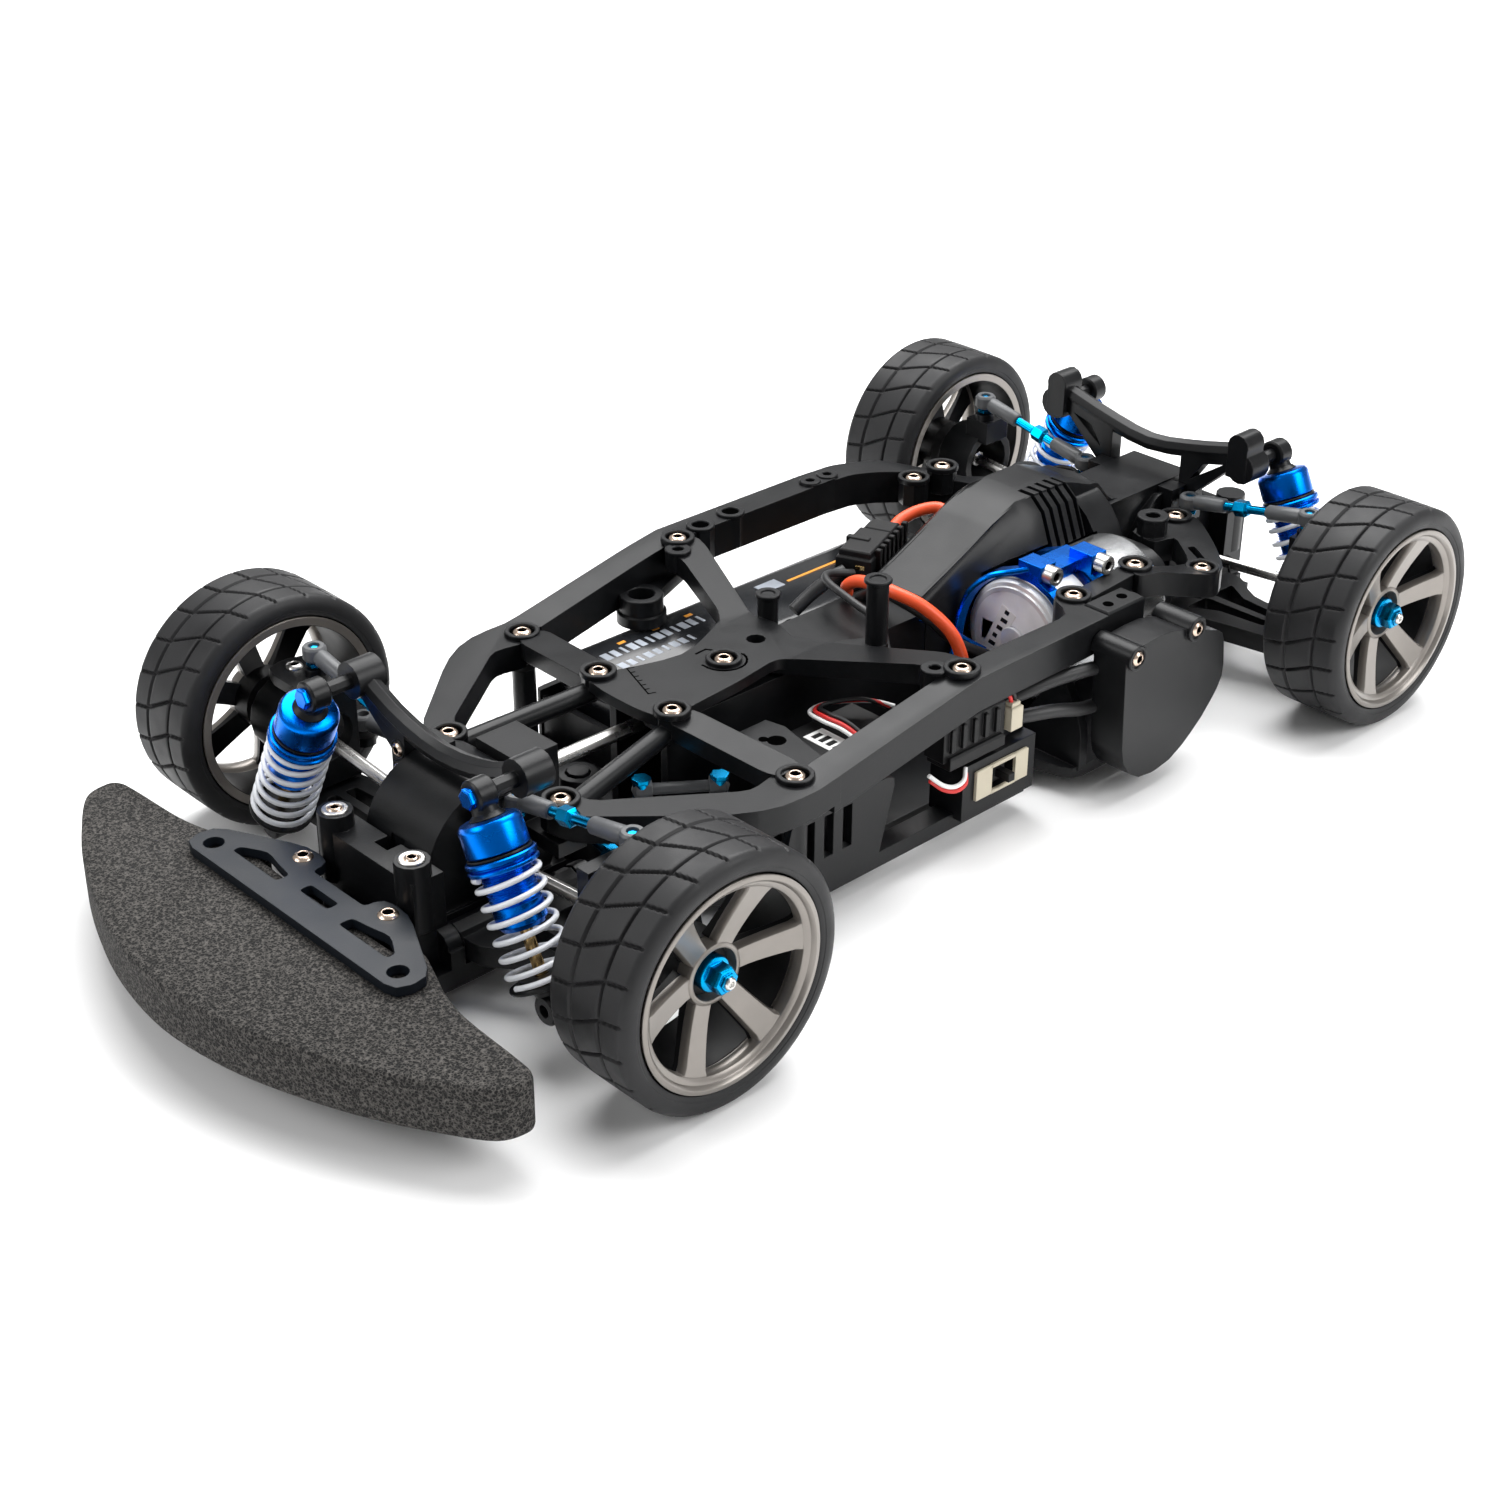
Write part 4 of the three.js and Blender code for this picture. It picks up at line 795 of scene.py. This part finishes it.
def ring_at(centre, axis, outer, inner, low, high, sides=40):
    """A ring with rounded edges about an axis through its centre."""
    edge = min(0.25, (high - low) * 0.4)
    profile = [
        (inner, low), (outer, low), (outer, high - edge),
        (outer - edge, high), (inner + edge, high), (inner, high - edge),
    ]
    return lathe(profile, centre, centre + axis, sides, closed=True)


def screw_head(centre, axis, radius):
    """A round screw head with a hexagonal socket through its top."""
    height = 0.9
    head = lathe(
        [(radius * 0.5, -0.8), (radius, -0.8), (radius * 1.02, height * 0.1), (radius * 0.86, height * 0.7),
         (radius * 0.58, height), (radius * 0.5, height * 0.9)],
        centre, centre + axis, 36, closed=True,
    )
    # The socket is a dark hexagonal plug of painted shade.
    reach = radius * 0.56
    socket = [(0, -0.7), (reach, -0.7), (reach, height * 0.35), (0, height * 0.35)]
    return head, lathe(socket, centre, centre + axis, 6)


def add_screws(name, places, axis, body, finish=COPPER, ringed=True, radius=2.5):
    """Screw heads, their sockets filled with painted shade and, if ringed, the raised plastic rings round
    them with painted shade inside each ring.
    """
    heads = []
    sockets = []
    rings = []
    shadows = []
    for place in places:
        centre = at(*place)
        head, socket = screw_head(centre, axis, radius)
        heads.append(head)
        sockets.append(socket)
        rings.append(ring_at(centre, axis, radius * 1.92, radius * 1.36, -0.6, 0.9))
        shadows.append(rod(centre - axis * 0.5 * MM, centre + axis * 0.06 * MM, radius * 1.36, 32, 0.03))
    piece(f"{name}_heads", heads, finish, body)
    # The sockets and the discs inside the rings are painted shade.
    piece(f"{name}_sockets", sockets, HOLE_SHADE, body)
    if ringed:
        piece(f"{name}_rings", rings, BLACK, body)
        piece(f"{name}_recess_shadows", shadows, HOLE_SHADE, body)


add_screws("deck_screw", DECK_SCREWS, UP, "chassis")
add_screws("brace_screw", BRACE_SCREWS, UP, "chassis", ringed=False)
add_screws("bulkhead_screw", SILVER_WASHERS, UP, "chassis", ringed=False, radius=2.0)
washers = [ring_at(at(*place), UP, 3.2, 1.9, -0.2, 0.5) for place in SILVER_WASHERS]
fixed("bulkhead_washers", washers, STEEL)
hole_rims = []
hole_floor_shadows = []
for x, y, top, outer, inner in EMPTY_HOLES:
    hole_rims.append(ring_at(at(x, y, top), UP, outer, inner, -0.4, RAISED))
    # A near-black disc on each hole's floor is painted shade.
    hole_floor_shadows.append(rod(at(x, y, top - 0.5), at(x, y, top + 0.08), inner, 24, 0.05))
fixed("hole_rims", hole_rims, BLACK)
fixed("hole_floor_shadows", hole_floor_shadows, HOLE_SHADE)
for end, out in (("front", -1), ("rear", 1)):
    stay_face = out * (AXLE_Y + 5.9)
    stay_screws = [(side * 15.6, stay_face, z) for side in (-1, 1) for z in (41.2, 46.8)]
    add_screws(f"{end}_stay_screw", stay_screws, BACK * out, "chassis", ringed=False, radius=1.9)
    rims = [ring_at(at(*place), BACK * out, 2.6, 1.95, -0.3, 0.35) for place in stay_screws]
    fixed(f"{end}_stay_screw_rims", rims, BLACK)
for side, sign in (("left", 1), ("right", -1)):
    kingpins = [(sign * 68, -AXLE_Y, 47.1)]
    add_screws(f"{side}_kingpin", kingpins, UP, f"front_{side}_hub_carrier", STEEL, ringed=False, radius=2.2)
guard_screws = [(72.2, 37.2, 44), (72.2, 62.2, 44)]
add_screws("guard_screw", guard_screws, LEFT, "chassis", ringed=False, radius=2.1)
fixed("guard_screw_rims", [ring_at(at(*place), LEFT, 3.6, 2.5, -0.3, 0.5) for place in guard_screws], BLACK)


# ---------------------------------------------------------------- centre plate and servo panel
PLATE_TOP = 46.0


def line_on(path, width):
    """A thin dark line, the shadow of a narrow groove, along (x, y, z) points on a flat top."""
    parts = []
    for (x0, y0, z0), (x1, y1, z1) in zip(path, path[1:]):
        start = Vector((x0, y0))
        end = Vector((x1, y1))
        side = Vector((start.y - end.y, end.x - start.x)).normalized() * width / 2
        grow = (end - start).normalized() * width / 2
        loop = [
            (start - side - grow, z0), (end - side + grow, z1),
            (end + side + grow, z1), (start + side - grow, z0),
        ]
        parts.append(loft([[at(*spot, z + lift) for spot, z in loop] for lift in (-0.3, 0.06)]))
    return parts


u_groove = []
for k in range(13):
    angle = math.radians(-100 + 15 * k)
    u_groove.append((2.4 + 6.0 * math.cos(angle), -44.6 + 6.0 * math.sin(angle), PLATE_TOP))
u_groove = [(0.9, -50.6, PLATE_TOP), *u_groove, (-5.2, -44.0, PLATE_TOP), (-5.0, -47.5, PLATE_TOP)]
scale_marks = line_on([(-11, -66, PLATE_TOP), (3, -71, PLATE_TOP)], 0.35)
for k in range(7):
    share = k / 6
    x, y = -11 + 14 * share, -66 - 5 * share
    reach = 1.8 if k in (0, 6) else 1.1
    scale_marks += line_on([(x, y, PLATE_TOP), (x + 0.36 * reach, y + reach, PLATE_TOP)], 0.3)
fixed("plate_grooves", [*line_on(u_groove, 0.6), *scale_marks], HOLE_SHADE)

PANEL_TOP = 36.0
panel_outline = [(19.4, -61.0), (46.0, -61.0), (49.8, -55.0), (46.4, -49.5), (25.4, -44.8), (19.4, -46.0)]
fixed("servo_panel", [slab(panel_outline, PANEL_TOP - 2.0, PANEL_TOP, 0.4)], BLACK)
# Near-black discs in the panel's keyhole are painted shade.
keyhole_shade = [
    rod(at(29.4, -51.6, PANEL_TOP - 1), at(29.4, -51.6, PANEL_TOP + 0.06), 2.5, 24, 0.05),
    rod(at(26.7, -53.6, PANEL_TOP - 1), at(26.7, -53.6, PANEL_TOP + 0.06), 1.3, 24, 0.05),
]
fixed("servo_panel_keyhole", keyhole_shade, HOLE_SHADE)

# The ringed arm that holds the battery down, in the right-hand window.
arm_outline = [(-52.6, -24.6), (-48.2, -22.6), (-54.6, -7.0), (-60.5, -4.6), (-63.0, -9.0), (-58.4, -12.4)]
battery_arm = [
    slab(arm_outline, 36.6, 40.2, 0.4),
    ring_at(at(-49.5, -27.6, 36.0), UP, 6.2, 3.7, 0, 5.0, 56),
    ring_at(at(-49.5, -27.6, 33.0), UP, 7.0, 3.7, 0, 3.2, 56),
]
fixed("battery_arm", battery_arm, BLACK)


# ---------------------------------------------------------------- battery, its prints and its plug
BATTERY_TOP = 32.0
BATTERY_CORNER = 4.2
# The middles of the rounded corners of the battery's end, as x and z.
BATTERY_TURNS = [(-47.2, 12.8), (-24.6, 12.8), (-24.6, 27.8), (-47.2, 27.8)]


def battery_loop(inset, y):
    """The battery's section at a distance along it, drawn in by an inset."""
    radius = BATTERY_CORNER - inset
    loop = []
    for k, (x, z) in enumerate(BATTERY_TURNS):
        for step in range(7):
            angle = math.pi + k * math.pi / 2 + step * math.pi / 12
            loop.append(at(x + radius * math.cos(angle), y, z + radius * math.sin(angle)))
    return loop


# How far the battery's section is drawn in along its length.
BATTERY_STEPS = [(2.6, -57), (1.0, -56.4), (0.0, -55), (0.0, 58), (1.0, 59.4), (2.6, 60)]
battery = [loft([battery_loop(inset, y) for inset, y in BATTERY_STEPS])]
fixed("battery_shell", battery, FILM, 50.0, ["battery_pack"])
PRINT_SPAN = (BATTERY_TOP - 0.3, BATTERY_TOP + 0.12)
# Plain bars stand for the printing: their middle y and their length, along two rows.
marks = []
for x, low, bars in ((-40.2, 1.9, 14), (-33.4, 1.6, 11)):
    for k in range(bars):
        y = -54.5 + 3.1 * k
        length = (1.0, 0.5, 1.2)[k % 3]
        marks.append(brick((x - low, x + low), (y - length, y + length), PRINT_SPAN, 0.1))
marks.append(brick((-44.6, -39.8), (10.5, 18.5), PRINT_SPAN, 0.1))
fixed("battery_print", marks, PRINT)
orange_marks = [brick((-41.5, -40.5), (20.5, 59.0), PRINT_SPAN, 0.1)]
for k in range(4):
    y = -52.1 + 12.3 * k
    orange_marks.append(brick((-44.6, -43.4), (y - 1.3, y + 1.3), PRINT_SPAN, 0.1))
fixed("battery_stripe", orange_marks, STRIPE)

PLUG_MIDDLE = Vector((-20.6, 33.4))
PLUG_LONG = Vector((-0.39, 0.92)).normalized()
PLUG_WIDE = Vector((0.92, 0.39)).normalized()


def plug_block(along, across, z_span, chamfer=0.4):
    """A block in the plug's own directions, from spans along and across it."""

    def loop(inset, z):
        corners = [(along[0] + inset, across[0] + inset), (along[1] - inset, across[0] + inset),
                   (along[1] - inset, across[1] - inset), (along[0] + inset, across[1] - inset)]
        return [at(*(PLUG_MIDDLE + PLUG_LONG * u + PLUG_WIDE * v), z) for u, v in corners]

    low, high = z_span
    return loft([loop(chamfer, low), loop(0, low + chamfer), loop(0, high - chamfer), loop(chamfer, high)])


plug = [
    plug_block((-13, 13), (-5.6, 5.0), (36.5, 47.5)),
    plug_block((-12, 4), (-5.0, 4.4), (46, 49.4)),
    plug_block((-4.6, -2.6), (-5.8, 1.0), (46, 49.9), 0.2),
    plug_block((6, 12.6), (-4.4, 3.8), (46, 48.6)),
]
plug += [plug_block((-9 + 3.4 * k, -7.4 + 3.4 * k), (4.6, 6.2), (39, 49.4), 0.25) for k in range(7)]
fixed("battery_plug", plug, DARK)
fixed("plug_contact", [plug_block((-13.3, -12.8), (0.4, 3.2), (44.4, 45.6), 0.1)], GOLD)


# ---------------------------------------------------------------- motor
MOTOR_X = 27
MOTOR_Z = 31
MOTOR_FRONT = at(MOTOR_X, 40, MOTOR_Z)
MOTOR_BACK = at(MOTOR_X, 86, MOTOR_Z)
can = lathe(
    [(0, 3.6), (17.0, 3.6), (17.7, 4.0), (17.9, 4.7), (17.9, 44.6), (17.6, 45.5), (16.8, 46), (0, 46)],
    MOTOR_FRONT, MOTOR_BACK, 96,
)
fixed("motor_can", [can], CAN, replaces=["motor"])
bell_profile = [
    (0, 0.2), (3.9, 0.2), (4.1, 0.6), (4.1, 1.7), (13.6, 1.7), (14.2, 0.9),
    (15.4, 1.0), (15.6, 1.5), (16.6, 1.8), (17.1, 2.6), (17.2, 3.7), (0, 3.7),
]
endbell = [lathe(bell_profile, MOTOR_FRONT, MOTOR_BACK, 96)]
for x in (MOTOR_X - 9, MOTOR_X + 9):
    endbell.append(brick((x - 2.4, x + 2.4), (41, 47), (27.6, 34.4), 0.4))
fixed("motor_endbell", endbell, ENDBELL)


def wrap(angle_span, y_span, radius, thick=0.12):
    """A thin patch wrapped round the motor's can, between two angles above the horizontal."""
    loops = []
    for step in range(17):
        angle = math.radians(angle_span[0] + (angle_span[1] - angle_span[0]) * step / 16)
        low, high = radius - 0.2, radius + thick
        front, back = y_span
        corners = [(low, front), (high, front), (high, back), (low, back)]
        across, up = math.cos(angle), math.sin(angle)
        loops.append([at(MOTOR_X + r * across, y, MOTOR_Z + r * up) for r, y in corners])
    return loft(loops)


fixed("motor_label", [wrap((40, 112), (47.6, 57.4), 17.9)], PAPER)
face = lathe([(4.3, 1.0), (14.2, 1.0), (14.4, 1.5), (4.3, 1.9)], MOTOR_FRONT, MOTOR_BACK, 96, closed=True)
fixed("motor_face", [face], FACE)


def face_patch(corners, lift):
    """A thin flat patch on the motor's front face, from (x, z) corners."""
    return loft([[at(x, 41.2, z) for x, z in corners], [at(x, 40.9 - lift, z) for x, z in corners]])


label_patch = face_patch([(16.4, 26.4), (21.4, 25.6), (27.6, 38.6), (22.4, 40.6)], 0.0)
fixed("face_label", [label_patch], PAPER)
face_bars = []
for k in range(5):
    x, z = 18.2 + 1.3 * k, 27.4 + 2.7 * k
    reach = (2.2, 1.4, 1.9)[k % 3]
    bar = [(x, z), (x + reach, z - 0.4), (x + reach + 0.5, z + 0.8), (x + 0.5, z + 1.2)]
    face_bars.append(face_patch(bar, 0.12))
fixed("face_label_bars", face_bars, DARK)


def ribbon(path, wide, half_width, half_thick):
    """A flat strap with chamfered edges along a path; `wide` is its width's direction."""
    edge = half_thick * 0.6
    near = half_width - edge
    low = half_thick - edge
    corners = [
        (-half_width, -low), (-near, -half_thick), (near, -half_thick), (half_width, -low),
        (half_width, low), (near, half_thick), (-near, half_thick), (-half_width, low),
    ]
    loops = []
    for k, point in enumerate(path):
        ahead = (path[min(k + 1, len(path) - 1)] - path[max(k - 1, 0)]).normalized()
        across = (wide - ahead * wide.dot(ahead)).normalized()
        lift = ahead.cross(across)
        loops.append([point + (across * u + lift * v) * MM for u, v in corners])
    return loft(loops)


strap_route = [
    (14.5, 31.0, 25), (14.2, 32.2, 31), (14.6, 33.4, 38), (17.2, 34.6, 45.4), (21.6, 37.6, 50.2),
    (27.4, 43.4, 52.2), (30.0, 46.2, 52.6),
]
strap_path = smooth_path([at(*spot) for spot in strap_route], 10)
fixed("motor_strap", [ribbon(strap_path, Vector((0.25, 0.95, 0.1)), 1.7, 0.8)], BLUE)
cap_screws = [((33.3, 46, 52), 3.6, 2.7), ((37.8, 62, 52), 3.8, 2.7)]
bolt_parts = []
bolt_sockets = []
for place, reach, radius in cap_screws:
    centre = at(*place)
    bolt_parts.append(ring_at(centre, LEFT, radius, 1.3, 0, reach, 36))
    socket = [(0, 0.2), (1.45, 0.2), (1.45, reach - 0.9), (0, reach - 0.9)]
    bolt_sockets.append(lathe(socket, centre, centre + LEFT, 6))
fixed("mount_bolts", bolt_parts, STEEL)
# Dark hexagons in the bolts are painted shade in their sockets.
fixed("mount_bolt_sockets", bolt_sockets, HOLE_SHADE)


# ---------------------------------------------------------------- electrics on the left side
controller = [
    brick((50.4, 57.0), (-19.6, 3.4), (27.6, 38.4), 0.5),
    brick((50.4, 58.4), (-18.4, 2.4), (25.6, 29.4), 0.5),
]
for k in range(5):
    y = -17.6 + 4.2 * k
    controller.append(brick((56.6, 58.0), (y, y + 1.4), (30.4, 37.4), 0.3))
fixed("speed_controller", controller, DARK)
SWITCH_FACE = (57.2, 58.3)
switch_plate = [
    brick(SWITCH_FACE, (-7.6, -1.6), (12.6, 21.4), 0.3), brick(SWITCH_FACE, (7.5, 12.4), (12.6, 21.4), 0.3),
    brick(SWITCH_FACE, (-1.8, 7.6), (20.3, 21.4), 0.2), brick(SWITCH_FACE, (-1.8, 7.6), (12.6, 13.7), 0.2),
]
fixed("switch_plate", switch_plate, CREAM)
connector = [
    brick((54.6, 58.4), (4.6, 9.0), (28.6, 35.4), 0.3),
    brick((55.2, 57.8), (5.2, 8.4), (35.0, 36.6), 0.2),
]
fixed("small_connector", connector, CREAM)

receiver = [brick((19.6, 45.0), (-42.5, -14.5), (25.0, 29.6), 0.6)]
fixed("receiver_box", receiver, DARK)
fixed("receiver_label", [brick((24.6, 36.8), (-37.6, -30.6), (29.4, 29.78), 0.1)], PAPER)
label_marks = []
for k in range(4):
    x = 26.0 + 2.6 * k
    label_marks.append(brick((x, x + 1.6), (-36.2, -33.0 + 0.5 * (k % 2)), (29.6, 29.9), 0.08))
fixed("receiver_label_marks", label_marks, DARK)

deck_block = [brick((50.6, 59.0), (41, 56), (44.0, 51.0), 0.5)]
fixed("deck_block", deck_block, BLACK)
# Near-black discs in the block's two holes are painted shade.
block_hole_shadows = [rod(at(x, y, 50.5), at(x, y, 51.07), 1.5, 24, 0.04) for x, y in ((55.2, 45.2), (54.6, 51.6))]
fixed("deck_block_holes", block_hole_shadows, HOLE_SHADE)


# ---------------------------------------------------------------- leads
# Each short lead runs between two components: its finish, radius and route.
LEADS = [
    ("orange_lead_front", ORANGE, 1.8, [
        (-9.5, 12.5, 42), (-8.2, 11.4, 45), (-5.0, 11.8, 47.4), (2, 11.6, 49), (9.7, 10.3, 50),
        (17, 14.5, 46.8), (22.4, 19.5, 40), (25.2, 21.6, 33), (25.6, 22.4, 27),
    ]),
    ("orange_lead_rear", ORANGE, 1.8, [
        (-25.5, 46.0, 44), (-26.0, 51.0, 46.6), (-24.0, 57.0, 48.6), (-19.5, 61.0, 49.4), (-15.2, 60.4, 46),
        (-14.6, 57.5, 40),
    ]),
    ("motor_lead_black", BLACK_WIRE, 1.5, [
        (-8, 16, 40), (0, 15.5, 45), (8, 14, 46), (15, 19, 41), (19, 26, 33), (22, 37, 26),
    ]),
    ("motor_lead_blue", BLUE, 1.0, [
        (12, 19, 40), (16, 23, 38), (18.5, 29, 33), (20, 37, 27),
    ]),
    ("side_lead_upper", BLACK_WIRE, 1.9, [
        (50.5, 9, 33), (54, 14, 35.2), (57, 22, 37.2), (60, 31, 38), (61.2, 38, 37.4),
    ]),
    ("side_lead_lower", BLACK_WIRE, 1.9, [
        (50.5, 6, 28), (55, 13, 29), (58.2, 22, 28.6), (60, 31, 26.6), (61.2, 40, 26.0),
    ]),
    ("plug_boot_left", BLACK_WIRE, 2.0, [
        (-17.8, 20.0, 43.5), (-19.0, 16, 42), (-21.5, 10.5, 38), (-22.5, 5, 34.4),
    ]),
    ("sensor_lead", BLACK_WIRE, 1.1, [
        (-14.5, 20.0, 44.0), (-15.0, 11.0, 46.5), (-10.5, 6.0, 47.2), (2, 2.6, 47.0), (14, 0.8, 45.5),
        (19, -1.0, 40),
    ]),
    ("servo_lead_red", RED, 0.55, [
        (41.5, -29.5, 30.5), (33, -30.4, 33.4), (26.4, -31.2, 33.8), (20.6, -29.4, 33), (21.0, -24.5, 33.4),
        (27.1, -16.7, 33.8), (30, -11, 31),
    ]),
    ("servo_lead_white", PAPER, 0.55, [
        (42.2, -30.4, 29.8), (33.4, -31.5, 32.7), (26.2, -32.3, 33.1), (19.5, -30.2, 32.3),
        (20.0, -23.8, 32.7), (27.3, -15.4, 33.1), (30.6, -10, 31),
    ]),
    ("servo_lead_black", BLACK_WIRE, 0.55, [
        (40.8, -28.6, 31.2), (32.8, -29.3, 34.1), (26.6, -30.1, 34.5), (21.7, -28.6, 33.7),
        (22.0, -25.2, 34.1), (26.9, -18.0, 34.5), (29.4, -12, 31),
    ]),
    ("receiver_lead_white", PAPER, 0.6, [
        (36.5, -20.5, 29.5), (38.5, -17, 31.6), (42.5, -15.6, 32), (45.5, -18, 31), (46.6, -22, 28.5),
    ]),
    ("switch_lead_white", PAPER, 0.6, [
        (56.6, -24.4, 26.5), (58.4, -21.0, 23.2), (59.0, -17.0, 21.4), (59.0, -13.6, 22.0),
        (57.6, -11.6, 24.4),
    ]),
    ("switch_lead_red", RED, 0.6, [
        (56.4, -23.6, 24.6), (58.0, -20.2, 21.4), (58.8, -16.4, 19.8), (58.8, -12.8, 20.4),
        (57.6, -11.4, 22.8),
    ]),
    ("connector_lead_red", RED, 0.55, [
        (56.6, 6.2, 36.2), (56.8, 5.2, 38.4), (56.2, 3.8, 40.0), (54.0, 2.6, 41.0),
    ]),
    ("connector_lead_black", BLACK_WIRE, 0.55, [
        (56.6, 7.6, 36.2), (56.8, 6.8, 38.6), (56.2, 5.6, 40.4), (54.0, 4.2, 41.2),
    ]),
]
for name, finish, radius, route in LEADS:
    path = smooth_path([at(*spot) for spot in route], 10)
    fixed(name, [tube(path, radius, 16)], finish, 60.0)

# The woven sleeve of the sensor cable, which lies beside the battery.
SLEEVE_ROUTE = [(-17.2, -8.5, 33.4), (-14.8, -2.0, 34.4), (-12.8, 6.0, 35.0), (-12.0, 15.0, 36.0)]
sleeve_path = smooth_path([at(*spot) for spot in SLEEVE_ROUTE], 10)
weave = []
for turn_direction in (-1, 1):
    for start_angle in range(0, 360, 60):
        strand = []
        for k, point in enumerate(sleeve_path):
            angle = math.radians(start_angle) + turn_direction * k * 0.55
            strand.append(point + (LEFT * math.cos(angle) + UP * math.sin(angle)) * 1.7 * MM)
        weave.append(tube(strand, 0.4, 6))
fixed("cable_sleeve", [tube(sleeve_path, 1.6, 14)], DARK, 60.0)
YARN = surface("sleeve_yarn", (0.34, 0.40, 0.50), 0.6, grain=0.3)
fixed("cable_sleeve_weave", weave, YARN, 60.0)
